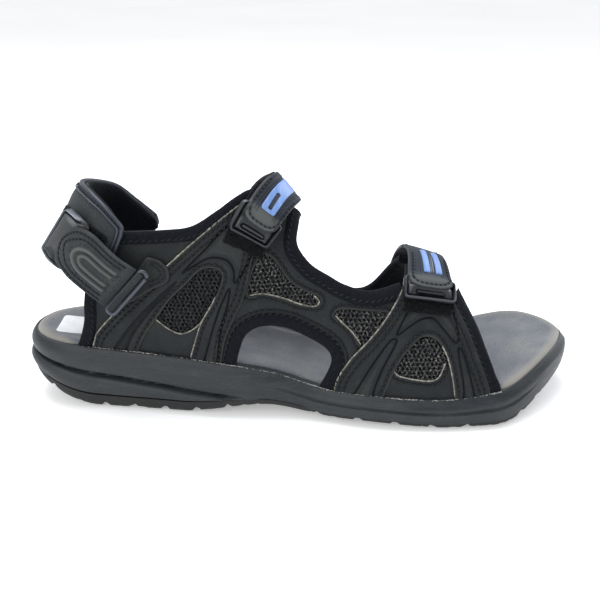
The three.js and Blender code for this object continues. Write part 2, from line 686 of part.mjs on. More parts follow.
function buildStrap(strap) {
  const { name } = strap;
  const hookRange = [strap.end[1] - 2, strap.patch[1] - 2];
  const stretch = (range) => Math.max(3, Math.round((range[1] - range[0]) / 4.5));
  const add = (part, range, layer, margin, finish) => {
    addPart(`${name}_${part}`, strapPiece(strap, range, layer, margin, stretch(range)), finish);
  };
  add('strap', strap.strap, STRAP, [0, 0], 'nubuck');
  add('strap_tab', strap.tab, STRAP, [0, 0], 'nubuck');
  add('tab_end', strap.end, STRAP_END, [-0.8, -0.8], 'moulded');
  add('hook_patch', hookRange, HOOK_PATCH, [2, 2], 'hookLoop');
  add('loop_patch', strap.patch, LOOP_PATCH, [0.5, 0.5], 'hookLoop');
}

function buildInlays() {
  const instepRange = [55, 87];
  addPart('instep_inlay', strapPiece(INSTEP, instepRange, INLAY, [4.4, 5.8], 9), 'inlay');
  const toeRange = [67, 87];
  addPart('toe_inlay_rear', strapPiece(TOE, toeRange, INLAY, [7.2, 12.6], 6), 'inlay');
  addPart('toe_inlay_front', strapPiece(TOE, toeRange, INLAY, [13.2, 6.4], 6), 'inlay');
}

// ---------------------------------------------------------------- heel collar and its tab
const vectors = (list) => list.map(([x, y, z]) => new THREE.Vector3(x, y, z));
const COLLAR_UPPER = new THREE.CatmullRomCurve3(vectors([[-86, -31, 97], [-95, -28, 107],
  [-104, -20, 113], [-113, -1, 115], [-109, 14, 112], [-99, 25, 106], [-88, 28, 96], [-79, 29, 88]]));
const COLLAR_LOWER = new THREE.CatmullRomCurve3(vectors([[-97, -33, 76], [-106, -30, 77],
  [-119, -20, 78], [-130, -1, 80], [-119, 19, 79], [-105, 27, 77], [-91, 29, 78], [-79, 30, 81.5]]));
const TAB_UPPER = new THREE.CatmullRomCurve3(vectors([[-80, -40.5, 80], [-89, -39, 86],
  [-98, -36, 94], [-107, -30, 101], [-116, -20.5, 105]]));
const TAB_LOWER = new THREE.CatmullRomCurve3(vectors([[-97, -40, 61], [-105, -38, 66.5],
  [-114, -33, 72], [-125, -22, 77.5], [-133, -8, 81]]));

// A band ruled between an upper and a lower edge, moved out by a distance.
function onBand(upper, lower, u, v, distance) {
  const at = (s, t) => lower.getPoint(s).lerp(upper.getPoint(s), t);
  const step = 0.01;
  const s0 = Math.max(u - step, 0);
  const s1 = Math.min(u + step, 1);
  const run = at(s1, v).sub(at(s0, v));
  const rise = at(u, 1).sub(at(u, 0));
  return at(u, v).addScaledVector(rise.cross(run).normalize(), distance);
}

function bandPiece(upper, lower, span, height, [inDistance, outDistance], steps) {
  const place = (a, b, w) => {
    const u = THREE.MathUtils.lerp(span[0], span[1], a);
    const v = THREE.MathUtils.lerp(height[0], height[1], b);
    return onBand(upper, lower, u, v, w ? outDistance : inDistance);
  };
  return slab((a, b, w) => place(1 - a, b, w), steps, 3);
}

function buildCollar() {
  const part = (name, span, height, layer, finish) => {
    addPart(name, bandPiece(COLLAR_UPPER, COLLAR_LOWER, span, height, layer, 18), finish);
  };
  part('heel_collar_shell', [0, 1], [0, 1], [-1.4, 0], 'nubuck');
  part('heel_collar_pad', [0.02, 0.98], [0.04, 0.96], [-5.6, -1.8], 'cushion');
  part('heel_collar_lining', [0, 1], [0, 1], [-7, -6], 'lining');
  part('heel_loop_patch', [0.06, 0.4], [0.16, 0.74], [0.4, 1.2], 'hookLoop');
}

function buildHeelTab() {
  const part = (name, span, height, layer, finish) => {
    addPart(name, bandPiece(TAB_UPPER, TAB_LOWER, span, height, layer, 10), finish);
  };
  part('heel_strap_tab', [0.03, 0.86], [0, 1], [-1.8, 0.2], 'nubuck');
  part('heel_tab_end', [0.87, 1], [-0.03, 1.03], [-2, 0.8], 'moulded');
  part('heel_hook_patch', [0.4, 0.82], [0.1, 0.9], [-2.9, -2.1], 'hookLoop');
}

function buildHeelRing() {
  const radius = 1.6;
  const top = new THREE.Vector3(-77.2, -38.5, 79.5);
  const foot = new THREE.Vector3(-96.2, -38.5, 58.3);
  const bar = new THREE.CylinderGeometry(radius, radius, top.distanceTo(foot), 10);
  const turn = new THREE.Quaternion().setFromUnitVectors(new THREE.Vector3(0, 1, 0),
    top.clone().sub(foot).normalize());
  bar.applyQuaternion(turn);
  const centre = top.clone().add(foot).multiplyScalar(0.5);
  bar.translate(centre.x, centre.y, centre.z);
  addPart('heel_ring', fromSolid(toSolid(bar)), 'moulded');
  const keeper = [[-76, 82], [-70, 80], [-67, 75.5], [-69, 71], [-75, 68], [-88, 60], [-91, 63], [-83, 72]];
  addPart('heel_ring_keeper', panel(keeper, [], OUTER, [5, 6.2]), 'nubuck');
}

buildOutsole();
buildMidsole();
buildFootbed();
buildHeelLabel();
buildSide(OUTER_CUT);
buildSide(INNER_CUT);
buildStrap(INSTEP);
buildStrap(TOE);
buildInlays();
buildCollar();
buildHeelTab();
buildHeelRing();

export default group;
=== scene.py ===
# %% [markdown]
# # A strappy sport sandal
# The sandal is a moulded sole with a cut-out synthetic nubuck upper and three hook-and-loop straps.
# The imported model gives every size, place and joint. Here each of its solids is rebuilt with a fine
# surface: panels are cut flat, bent round the shape of a foot, given thickness, and sewn with real
# stitches. Lengths are in millimetres while a piece is made, and are turned to metres at the end.

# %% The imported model
import math

import bpy
import numpy as np
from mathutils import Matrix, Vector
from mathutils.geometry import delaunay_2d_cdt
from mathutils.kdtree import KDTree


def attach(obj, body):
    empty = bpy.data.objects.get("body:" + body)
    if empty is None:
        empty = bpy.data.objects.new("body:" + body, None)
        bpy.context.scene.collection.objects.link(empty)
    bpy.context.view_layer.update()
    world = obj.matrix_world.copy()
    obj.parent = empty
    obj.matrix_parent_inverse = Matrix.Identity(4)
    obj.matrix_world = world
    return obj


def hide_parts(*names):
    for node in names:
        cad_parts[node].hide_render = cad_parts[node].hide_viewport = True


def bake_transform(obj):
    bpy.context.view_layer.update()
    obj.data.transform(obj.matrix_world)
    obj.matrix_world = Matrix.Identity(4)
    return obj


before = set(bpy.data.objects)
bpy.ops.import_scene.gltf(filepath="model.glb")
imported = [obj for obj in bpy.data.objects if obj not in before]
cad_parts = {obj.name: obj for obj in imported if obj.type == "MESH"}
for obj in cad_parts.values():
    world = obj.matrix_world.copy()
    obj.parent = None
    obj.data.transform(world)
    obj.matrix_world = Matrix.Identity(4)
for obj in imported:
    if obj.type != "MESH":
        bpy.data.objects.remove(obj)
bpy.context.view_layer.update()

MM = 0.001

# %% [markdown]
# ## Camera, floor and light
# A shoe is shown from its outer side, a little from above, with a short telephoto lens so that the
# toe and heel keep their proportions. The floor is a pale sheet, and the light comes from large soft
# boxes, so that matt black leather still shows its edges.

# %% The camera
VIEW_TARGET = Vector((0, -2.5, 50)) * MM
VIEW_DISTANCE = 480 * MM
VIEW_ELEVATION = math.radians(21)
SENSOR_WIDTH, LENS, VIEW_SHIFT = 36, 54.3, -0.0033

camera = bpy.data.objects.new("camera", bpy.data.cameras.new("camera"))
bpy.context.scene.collection.objects.link(camera)
bpy.context.scene.camera = camera
back = Vector((0, -math.cos(VIEW_ELEVATION), math.sin(VIEW_ELEVATION)))
camera.location = VIEW_TARGET + back * VIEW_DISTANCE
camera.rotation_euler = (math.pi / 2 - VIEW_ELEVATION, 0, 0)
camera.data.sensor_width = SENSOR_WIDTH
camera.data.lens = LENS
camera.data.shift_x = VIEW_SHIFT
camera.data.clip_start = 0.01
print("the camera stands at", [round(v, 3) for v in camera.location], "m")

# %% Colours and shader nodes
def linear(code):
    """Turns an sRGB hex colour, such as "#8a8a88", to the linear values that shaders take."""
    parts = [int(code[i:i + 2], 16) / 255 for i in (1, 3, 5)]
    curve = [c / 12.92 if c <= 0.04045 else ((c + 0.055) / 1.055) ** 2.4 for c in parts]
    return (*curve, 1)


def add(tree, kind, inputs=None, stops=None, **settings):
    """Adds one shader node with its settings and links. An input is a value, a hex colour, or another
    node or output. stops are the (position, hex colour) pairs of a colour ramp."""
    node = tree.nodes.new("ShaderNode" + kind)
    for name, value in settings.items():
        setattr(node, name, value)
    if stops:
        elements = node.color_ramp.elements
        while len(elements) < len(stops):
            elements.new(0.5)
        for element, (position, code) in zip(elements, stops):
            element.position, element.color = position, linear(code)
    for key, value in (inputs or {}).items():
        socket = node.inputs[key] if isinstance(key, int) else next(
            s for s in node.inputs if s.enabled and s.name == key)
        if isinstance(value, bpy.types.Node):
            value = next(s for s in value.outputs if s.enabled)
        if isinstance(value, bpy.types.NodeSocket):
            tree.links.new(value, socket)
        else:
            socket.default_value = linear(value) if isinstance(value, str) else value
    return node


def new_material(name):
    """An empty material, its tree, and a node that gives places on the object in metres."""
    material = bpy.data.materials.new(name)
    material.use_nodes = True
    material.node_tree.nodes.clear()
    tree = material.node_tree
    return material, tree, add(tree, "TexCoord").outputs["Object"]


# %% Floor and lights
# The floor's half width and depth below the sole are in metres.
FLOOR_HALF, FLOOR_DEPTH, FLOOR_GLOW, WORLD_LIGHT = 14, 0.0002, 0.34, 0.75


def make_floor():
    """A large pale sheet that stands for the studio table, faintly lit from below."""
    material, tree, where = new_material("floor_paper")
    cloud = add(tree, "TexNoise", {"Vector": where, "Scale": 2.0})
    tint = add(tree, "ValToRGB", {"Fac": cloud}, [(0.3, "#f3f3f2"), (0.7, "#f7f7f6")])
    paper = add(tree, "BsdfPrincipled", {"Base Color": tint, "Roughness": 0.9, "Specular IOR Level": 0.1,
                                         "Emission Color": tint, "Emission Strength": FLOOR_GLOW})
    add(tree, "OutputMaterial", {"Surface": paper})
    mesh = bpy.data.meshes.new("studio_floor")
    corners = [(x * FLOOR_HALF, y * FLOOR_HALF, 0) for x, y in ((-1, -1), (1, -1), (1, 1), (-1, 1))]
    mesh.from_pydata(corners, [], [(0, 1, 2, 3)])
    floor = bpy.data.objects.new("studio_floor", mesh)
    floor.location.z = -FLOOR_DEPTH
    mesh.materials.append(material)
    bpy.context.scene.collection.objects.link(floor)


def soft_box(name, place, aim, size, watts, tint):
    """A square area light at a place, turned to its aim."""
    data = bpy.data.lights.new(name, "AREA")
    data.size = size
    data.energy = watts
    data.color = linear(tint)[:3]
    lamp = bpy.data.objects.new(name, data)
    lamp.location = place
    lamp.rotation_euler = (Vector(aim) - Vector(place)).to_track_quat("-Z", "Y").to_euler()
    bpy.context.scene.collection.objects.link(lamp)


make_floor()
soft_box("top_box", (-0.15, 0.25, 1.1), (0, 0, 0.04), 0.9, 13, "#f4f7ff")
soft_box("front_box", (-0.7, -1.1, 0.75), (0, 0, 0.05), 0.8, 7, "#ffffff")
soft_box("rim_box", (0.9, 0.7, 0.6), (0, 0, 0.05), 0.6, 5, "#eef2ff")

world = bpy.data.worlds.new("studio")
bpy.context.scene.world = world
world.use_nodes = True
sky = world.node_tree.nodes["Background"].inputs
sky["Color"].default_value = linear("#f2f4f8")
sky["Strength"].default_value = WORLD_LIGHT
bpy.context.scene.view_settings.view_transform = "Standard"

# %% [markdown]
# ## The shape of the foot
# A sandal is made round a last, a solid foot form. Its widest line follows the sole's rim, set in a
# little, and its crest runs over the middle. Any point of the upper is reached by its place along the
# foot and either an angle round it or a height above the ground, and lies some layers out from it.
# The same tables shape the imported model, so each piece here lands on its own solid.

# %% Tables of the sole and the foot
HALF_LENGTH = 145
HEEL_TIP_Y, TOE_TIP_Y = -1, 7
HEEL_ROUNDNESS, TOE_ROUNDNESS = 2.2, {-1: 1.4, 1: 1.9}
OUTER, INNER = -1, 1
SIDE_NAME = {OUTER: "outer", INNER: "inner"}
EDGE = {
    OUTER: [[-105, -30.5], [-70, -35.5], [-35, -40.5], [0, -42.5], [35, -52], [70, -54.5], [96, -52]],
    INNER: [[-105, 32.5], [-70, 34], [-35, 31], [0, 30.5], [35, 40.5], [70, 50.5], [96, 54]],
}
RIM = [[-145, 36], [-105, 33], [-60, 30], [-20, 25], [10, 17],
       [35, 16], [70, 15], [100, 18.5], [125, 26], [145, 28]]
TREAD = [[-145, 15], [-122, 4], [-105, 0], [-60, 0], [-20, 6], [10, 2],
         [35, 2], [70, 0], [105, 0], [125, 8], [145, 15]]
CREST = [[-145, 228], [-90, 228], [-60, 188], [-35, 140], [-8, 101],
         [20, 84], [65, 67.5], [100, 55], [125, 47], [145, 42]]
FOOT_INSET, FOOT_SINK, CREST_SHIFT = 8, 3, 1.5


def unit(vectors):
    """The same vectors with a length of 1."""
    return vectors / np.linalg.norm(vectors, axis=-1, keepdims=True)


def along(table, x):
    """A smooth curve through a table of [x, value], read at one or many x."""
    xs, ys = np.array(table, float).T
    slopes = np.gradient(ys, np.arange(len(ys))) / np.gradient(xs, np.arange(len(xs)))
    x = np.asarray(x, float)
    i = np.clip(np.searchsorted(xs, x) - 1, 0, len(xs) - 2)
    h = xs[i + 1] - xs[i]
    t = np.clip((x - xs[i]) / h, 0, 1)
    rise = (3 - 2 * t) * t * t
    return (ys[i] + (ys[i + 1] - ys[i]) * rise
            + h * t * (1 - t) * (slopes[i] * (1 - t) - slopes[i + 1] * t))


def sole_edge(x, side, inset):
    """Sideways place of the sole's outline, moved in by a distance."""
    x = np.asarray(x, float)
    table = EDGE[side]
    (x0, y0), (x1, y1) = table[0], table[-1]
    heel = np.clip((x0 - x) / (x0 + HALF_LENGTH - inset), 0, 1)
    toe = np.clip((x - x1) / (HALF_LENGTH - inset - x1), 0, 1)
    heel_round = (1 - heel ** HEEL_ROUNDNESS) ** (1 / HEEL_ROUNDNESS)
    toe_round = (1 - toe ** TOE_ROUNDNESS[side]) ** (1 / TOE_ROUNDNESS[side])
    waist = along(table, x) - side * inset
    at_heel = HEEL_TIP_Y + (y0 - side * inset - HEEL_TIP_Y) * heel_round
    at_toe = TOE_TIP_Y + (y1 - side * inset - TOE_TIP_Y) * toe_round
    return np.where(x < x0, at_heel, np.where(x > x1, at_toe, waist))


def rim(x):
    return along(RIM, x)


def tread(x):
    return np.maximum(along(TREAD, x), 0)


def around_foot(x, degrees):
    """Points on the foot: 0 degrees is the outer rim, 90 the crest and 180 the inner rim."""
    angle = np.radians(degrees)
    outer = sole_edge(x, OUTER, FOOT_INSET)
    inner = sole_edge(x, INNER, FOOT_INSET)
    crest_y = (outer + inner) / 2 + CREST_SHIFT
    low = rim(x) - FOOT_SINK
    c = np.cos(angle)
    y = np.where(c > 0, crest_y + (outer - crest_y) * c, crest_y - (inner - crest_y) * c)
    z = low + (along(CREST, x) - low) * np.sin(angle)
    return np.stack([x + 0 * y, y, z + 0 * y], -1)


def off_foot(x, degrees, distance):
    """The same points moved straight out from the foot."""
    x, degrees = np.broadcast_arrays(np.asarray(x, float), np.asarray(degrees, float))
    across = around_foot(x, degrees + 0.5) - around_foot(x, degrees - 0.5)
    lengthwise = around_foot(x + 0.5, degrees) - around_foot(x - 0.5, degrees)
    out = unit(np.cross(lengthwise, across))
    return around_foot(x, degrees) + out * np.broadcast_to(distance, x.shape)[..., None]


def on_side(side):
    """The map from flat [x, height] points and a distance to one side of the foot."""
    def place(points, distance):
        x, z = points[:, 0], points[:, 1]
        low = rim(x) - FOOT_SINK
        share = np.clip((z - low) / (along(CREST, x) - low), -0.3, 0.995)
        degrees = np.degrees(np.arcsin(share))
        return off_foot(x, degrees if side == OUTER else 180 - degrees, distance)
    return place


print("foot girth point over the instep:", np.round(off_foot(-10, 90, 0), 1))

# %% [markdown]
# ## Lines, stitches and cut panels
# Leatherwork is drawn flat. A line is a few points with a smooth curve through them. A panel is an
# outline with windows, filled with an even net of triangles. Rings of points just inside its edges
# let those edges be rounded, and the net is finest along pressed lines. Each panel becomes a closed
# solid, because real leather shows its thickness wherever it is cut.

# %% Flat lines
def reach_of(line):
    """The length along a line at each of its points."""
    return np.concatenate([[0], np.cumsum(np.linalg.norm(np.diff(line, axis=0), axis=1))])


def closed_line(loop):
    return np.vstack([loop, loop[:1]])


def evenly(line, step):
    """The same line with points at even steps."""
    line = np.asarray(line, float)
    reach = reach_of(line)
    count = max(2, int(round(reach[-1] / step)) + 1)
    at = np.linspace(0, reach[-1], count)
    return np.stack([np.interp(at, reach, line[:, k]) for k in range(line.shape[1])], -1)


def even_loop(loop, step):
    """An outline with points at even steps. It doesn't repeat its first point."""
    return evenly(closed_line(loop), step)[:-1]


def smooth(points, step=0.8, closed=False):
    """A smooth line through a few points. A closed one doesn't repeat its first point."""
    p = np.asarray(points, float)
    p = np.vstack([p[-1:], p, p[:2]]) if closed else np.vstack([p[:1], p, p[-1:]])
    t = np.linspace(0, 1, 24, endpoint=False)[:, None]
    spans = []
    for a, b, c, d in zip(p, p[1:], p[2:], p[3:]):
        spans.append(0.5 * (2 * b + (c - a) * t + (2 * a - 5 * b + 4 * c - d) * t ** 2
                            + (3 * b - a - 3 * c + d) * t ** 3))
    line = np.vstack([*spans, p[-2:-1]])
    line = evenly(line, step)
    return line[:-1] if closed else line


def normals_of(line):
    """Unit normals to the left of a flat line."""
    run = np.gradient(line, axis=0)
    run /= np.maximum(np.linalg.norm(run, axis=1, keepdims=True), 1e-9)
    return np.stack([-run[:, 1], run[:, 0]], -1)


def shifted(line, distance):
    """The line moved to its left by a distance, without the loops that tight bends would make."""
    moved = line + normals_of(line) * distance
    if distance == 0:
        return moved
    return moved[distance_to(moved, [line]) > abs(distance) * 0.93]


def distance_to(points, lines):
    """Distance from each point to the nearest of some lines."""
    starts = np.vstack([line[:-1] for line in lines])
    runs = np.vstack([np.diff(line, axis=0) for line in lines])
    size = np.maximum((runs ** 2).sum(1), 1e-12)
    found = []
    for block in np.array_split(points, max(1, len(points) // 2000)):
        gap = block[:, None] - starts
        share = np.clip((gap * runs).sum(2) / size, 0, 1)
        found.append(np.linalg.norm(gap - runs * share[..., None], axis=2).min(1))
    return np.concatenate(found)


def inside(points, loops):
    """True where a point is inside the outline and outside its windows."""
    a = np.vstack(loops)
    b = np.vstack([np.roll(loop, -1, axis=0) for loop in loops])
    found = []
    for block in np.array_split(points, max(1, len(points) // 2000)):
        px, py = block[:, :1], block[:, 1:]
        spans = (a[:, 1] > py) != (b[:, 1] > py)
        rise = np.where(a[:, 1] == b[:, 1], 1, b[:, 1] - a[:, 1])
        cross = a[:, 0] + (py - a[:, 1]) * (b[:, 0] - a[:, 0]) / rise
        found.append((spans & (px < cross)).sum(1) % 2 == 1)
    return np.concatenate(found)


# %% A net of triangles inside an outline
EDGE_RINGS = (0.3, 0.8, 1.5)
FINEST, CLEAR_OF_MARKS = 0.22, 0.25


def apart_from(points, others, gap):
    """The points that are at least a gap away from some others."""
    if len(points) == 0 or len(others) == 0:
        return points
    tree = KDTree(len(others))
    for i, p in enumerate(others):
        tree.insert((p[0], p[1], 0), i)
    tree.balance()
    far = [tree.find((p[0], p[1], 0))[2] > gap for p in points]
    return points[np.array(far)]


def fill(loops, spacing, rings=EDGE_RINGS, features=()):
    """Points and triangles inside an outline, its windows cut out, finer at edges and features."""
    loops = [even_loop(loop, spacing) for loop in loops]
    edges = [closed_line(loop) for loop in loops]
    near = []
    for ring in rings:
        for edge in edges:
            even = evenly(edge, max(spacing, ring))[:-1]
            near += [even + normals_of(even) * way for way in (ring, -ring)]
    near = np.vstack(near)
    near = near[inside(near, loops)]
    near = thinned(near[distance_to(near, edges) > 0.9 * rings[0]], FINEST)
    marked = np.vstack(features) if len(features) else np.empty((0, 2))
    marked = marked[inside(marked, loops)]
    if len(marked):
        marked = thinned(marked[distance_to(marked, edges) > CLEAR_OF_MARKS], FINEST)
    near = apart_from(near, marked, CLEAR_OF_MARKS)
    low, high = loops[0].min(0), loops[0].max(0)
    lattice = []
    for i, z in enumerate(np.arange(low[1], high[1], spacing * 0.87)):
        x = np.arange(low[0] + (i % 2) * spacing / 2, high[0], spacing)
        lattice.append(np.column_stack([x, np.full(len(x), z)]))
    lattice = np.vstack(lattice)
    lattice = lattice[inside(lattice, loops)]
    lattice = lattice[distance_to(lattice, edges) > rings[-1] + 0.5 * spacing]
    lattice = apart_from(lattice, marked, 0.55 * spacing)
    points = np.vstack([*loops, near, marked, lattice])
    walls, start = [], 0
    for loop in loops:
        n = len(loop)
        walls += [(start + i, start + (i + 1) % n) for i in range(n)]
        start += n
    made = delaunay_2d_cdt([Vector(p) for p in points], walls, [], 0, 1e-5)
    points = np.array([v[:] for v in made[0]])
    faces = np.array(made[2], int)
    keep = inside(points[faces].mean(1), loops)
    return points, faces[keep], edges


def thinned(points, gap):
    """Drops points that share a small square with an earlier one."""
    if len(points) == 0:
        return points
    _, first = np.unique(np.round(points / gap).astype(int), axis=0, return_index=True)
    return points[np.sort(first)]


# %% Closed solids and their meshes
def make_piece(name, vertices, faces, material, sharp=40, values=None):
    """A mesh object from points in millimetres. values are numbers at points for the shaders."""
    faces = [tuple(int(i) for i in f) for f in faces]
    mesh = bpy.data.meshes.new(name)
    mesh.from_pydata((np.asarray(vertices) * MM).tolist(), [], faces)
    mesh.materials.append(material)
    for key, value in (values or {}).items():
        mesh.attributes.new(key, "FLOAT", "POINT").data.foreach_set("value", np.float32(value))
    mesh.validate()
    mesh.shade_smooth()
    mesh.set_sharp_from_angle(angle=math.radians(sharp))
    piece = bpy.data.objects.new(name, mesh)
    bpy.context.scene.collection.objects.link(piece)
    return piece


def outward(vertices, faces):
    """Turns every triangle the other way if the solid is inside out, so its volume is negative."""
    a, b, c = (vertices[faces[:, k]] for k in range(3))
    return faces if (a * np.cross(b, c)).sum() > 0 else faces[:, ::-1]


def with_thickness(top, bottom, faces):
    """Joins a top skin and a bottom skin of the same net by a wall round every edge."""
    n = len(top)
    sides = np.vstack([faces[:, [0, 1]], faces[:, [1, 2]], faces[:, [2, 0]]])
    seen = {(a, b) for a, b in sides.tolist()}
    rims = np.array([(a, b) for a, b in sides.tolist() if (b, a) not in seen])
    p, q = rims.T
    walls = np.vstack([np.stack([q, p, p + n], -1), np.stack([q, p + n, q + n], -1)])
    vertices = np.vstack([top, bottom])
    return vertices, outward(vertices, np.vstack([faces, faces[:, ::-1] + n, walls]))


def rounded(distance, radius):
    """How far an edge of that radius has fallen away, from 0 inside to -1 at the edge."""
    t = np.clip(distance / radius, 0, 1)
    return np.sqrt(1 - (1 - t) ** 2) - 1


def settle(piece, body, slot, *nodes):
    """Lets a piece ride on a body and hides the imported solids that it stands for. slot, the name of its
    finish, is not used.
    """
    if body:
        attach(piece, body)
    if nodes:
        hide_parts(*nodes)
    return piece


def panel(name, loops, place, layer, material, relief=None, spacing=1.0, edge_radius=0.6,
          features=(), rings=EDGE_RINGS):
    """A flat outline with windows, bent on to the foot by place and given its layer's thickness."""
    low, high = layer
    points, faces, edges = fill(loops, spacing, rings, features)
    gap = distance_to(points, edges)
    drop = rounded(gap, edge_radius) * min(high - low - 0.3, edge_radius)
    raised = relief(points) if relief else np.zeros(len(points))
    top = place(points, high + drop + raised)
    bottom = place(points, np.full(len(points), low))
    vertices, faces = with_thickness(top, bottom, faces)
    # The relief value also lets the materials paint shade in hollows and a highlight on raised places.
    values = {"edge": np.tile(gap, 2), "relief": np.tile(raised, 2)}
    return make_piece(name, vertices, faces, material, values=values)


# %% Thread and cords sewn along a line
def frames_along(line, place, height, pitch):
    """Points at an even pitch along a flat line on a surface, with unit run, side and out."""
    fine = evenly(line, 0.3)
    track = place(fine, np.full(len(fine), height))
    out = place(fine, np.full(len(fine), height + 0.5)) - track
    reach = reach_of(track)
    count = max(2, int(round(reach[-1] / pitch)) + 1)
    at = np.linspace(0, reach[-1], count)
    pick = lambda values: np.stack([np.interp(at, reach, values[:, k]) for k in range(3)], -1)
    points, out = pick(track), pick(out)
    run = unit(np.gradient(points, axis=0))
    out = unit(out - run * (out * run).sum(1, keepdims=True))
    return points, run, np.cross(out, run), out


def long_enough(lines, pitch):
    """The lines that have room for two steps of a pitch."""
    return [line for line in lines if len(line) > 1 and reach_of(line)[-1] > 2 * pitch]


def tube_faces(rings, sides, start=0):
    """The faces of a tube of stacked rings, with both ends closed."""
    faces = []
    for a in range(start, start + (rings - 1) * sides, sides):
        faces += [(a + i, a + (i + 1) % sides, a + sides + (i + 1) % sides, a + sides + i)
                  for i in range(sides)]
    last = start + (rings - 1) * sides
    return faces + [tuple(start + i for i in range(sides))[::-1], tuple(last + i for i in range(sides))]


def sewn(name, rows, place, height, material, pitch=3.0, length=2.3, width=0.95, slant=0):
    """Rows of stitches. Each is a short arched thread whose ends dip into the leather."""
    sides, rings = 6, np.linspace(-1, 1, 7)
    angle = np.arange(sides) * 2 * math.pi / sides
    thick = width / 2 * np.sqrt(np.clip(1.02 - rings ** 4, 0.02, 1))
    arch = 0.30 * width * (1 - 2.2 * rings ** 4)
    template = np.array([[length / 2 * s, t * math.cos(a), h + t * math.sin(a)]
                         for s, t, h in zip(rings, thick, arch) for a in angle])
    vertices, faces = [], []
    turn = math.radians(slant)
    for row in long_enough(rows, pitch):
        points, run, side, out = frames_along(row, place, height, pitch)
        for p, r, s, o in zip(points[:-1], run, side, out):
            r, s = r * math.cos(turn) + s * math.sin(turn), s * math.cos(turn) - r * math.sin(turn)
            middle = p + r * pitch / 2
            faces += tube_faces(len(rings), sides, len(vertices) * len(template))
            vertices.append(middle + template @ np.stack([r, s, o]))
    return make_piece(name, np.vstack(vertices), faces, material, sharp=60)


# How thick a bead is at its ends, as a share of the rest.
BEAD_END = 0.35


def bead(name, lines, place, height, material, radius=0.4, flat=1.0, step=0.9, wobble=0):
    """A thin cord laid along lines: a cut edge, a weld or a piping."""
    sides = 8
    angle = np.arange(sides) * 2 * math.pi / sides
    random = np.random.default_rng(7)
    vertices, faces, start = [], [], 0
    for line in long_enough(lines, step):
        points, run, side, out = frames_along(line, place, height, step)
        size = radius * (1 + wobble * random.uniform(-1, 1, len(points)))
        size[[0, -1]] *= BEAD_END
        size = size[:, None, None]
        ring = (side[:, None] * np.cos(angle)[:, None] * size
                + out[:, None] * np.sin(angle)[:, None] * size * flat)
        vertices.append((points[:, None] + ring).reshape(-1, 3))
        faces += tube_faces(len(points), sides, start)
        start += len(points) * sides
    return make_piece(name, np.vstack(vertices), faces, material, sharp=70)

# %% [markdown]
# ## The sole's materials
# The sidewall is moulded EVA foam: satin, faintly pebbled by its mould. The tread is carbon-black
# rubber, a little browner and duller. The footbed is covered with microsuede, brushed polyester that
# looks cloudy where the nap lies in different ways and goes beige where it is glued over the edge.
# Glue that squeezed out along the joint has dried to pale specks.
#
# Each surface is built in the same order. Broad clouds choose the colour and the gloss. A fine grain
# darkens its own hollows and gives the bump. Then the mesh tells where its edges are, which are paler on
# leather and suede and on moulded rims get a painted highlight, where it is pressed in, which gets
# painted shade, and where it is raised, which gets a painted highlight.

# %% One recipe for every surface
# The length between two bands of a wave texture, in its own coordinates, at scale 1.
WAVE_PERIOD = 6.28


def per_mm(size):
    """The noise scale for features of a given size in millimetres, as coordinates are in metres."""
    return 1 / (size * MM)


def surface(name, stops, cloud, grain, shade, contrast, gloss, depth, stretch=(1, 1, 1), ribs=None,
            edge_tint_and_highlight=None, pressed=None, raised=None, **constants):
    """Makes a material. cloud, grain, ribs and depth are in millimetres. The settings for edges, pressed
    places and raised places are (colour, where it starts, where it ends, share), by distance from an edge or
    by height: the edge colour is the real colour of worn or glued edges on leather and suede and a painted
    highlight on moulded rims, the colour of pressed places is painted shade in hollows, and the colour of
    raised places is a painted highlight."""
    made, tree, where = new_material(name)
    pulled = add(tree, "Mapping", {"Vector": where, "Scale": stretch})
    clouds = add(tree, "TexNoise", {"Vector": pulled, "Scale": per_mm(cloud), "Detail": 3.0})
    fine = add(tree, "TexNoise", {"Vector": pulled, "Scale": per_mm(grain), "Detail": 4.0})
    height = fine
    if ribs:
        wave = add(tree, "TexWave", {"Vector": where, "Scale": per_mm(ribs) / WAVE_PERIOD,
                                     "Distortion": 1.5, "Detail": 2.0}, bands_direction="DIAGONAL")
        height = add(tree, "Math", {0: fine, 1: wave.outputs["Fac"]}, operation="MULTIPLY")
    colour = add(tree, "ValToRGB", {"Fac": clouds}, stops)
    hollow = add(tree, "MapRange", {"Value": height, "From Min": 0.35, "From Max": 0.7,
                                    "To Min": contrast, "To Max": 0.0})
    colour = add(tree, "Mix", {"Factor": hollow, "A": colour, "B": shade}, data_type="RGBA")
    # The edge colour is real on leather and suede and a painted highlight on moulded rims; pressed places
    # get painted shade and raised places a painted highlight.
    for told, attribute in ((edge_tint_and_highlight, "edge"), (pressed, "relief"), (raised, "relief")):
        if told:
            tint, start, stop, most = told
            value = add(tree, "Attribute", attribute_name=attribute).outputs["Fac"]
            share = add(tree, "MapRange", {"Value": value, "From Min": start, "From Max": stop,
                                           "To Min": most, "To Max": 0.0})
            colour = add(tree, "Mix", {"Factor": share, "A": colour, "B": tint}, data_type="RGBA")
    rough = add(tree, "MapRange", {"Value": clouds, "From Min": 0.3, "From Max": 0.7,
                                   "To Min": gloss[0], "To Max": gloss[1]})
    bump = add(tree, "Bump", {"Height": height, "Distance": depth * MM, "Strength": 1.0})
    shader = add(tree, "BsdfPrincipled", {"Base Color": colour, "Roughness": rough, "Normal": bump,
                                          **constants})
    add(tree, "OutputMaterial", {"Surface": shader})
    return made


# %% Moulded foam, rubber, microsuede and glue
# EVA foam looks satin, with a stippled mould grain and faint long flow marks. IOR 1.5.
EVA = surface("eva_foam", [(0.3, "#212528"), (0.55, "#2c3033"), (0.8, "#3b3e3f")], 7, 0.9, "#121518", 0.6,
              (0.42, 0.58), 0.07, stretch=(0.35, 0.35, 2.2), IOR=1.5, **{"Specular IOR Level": 0.4})
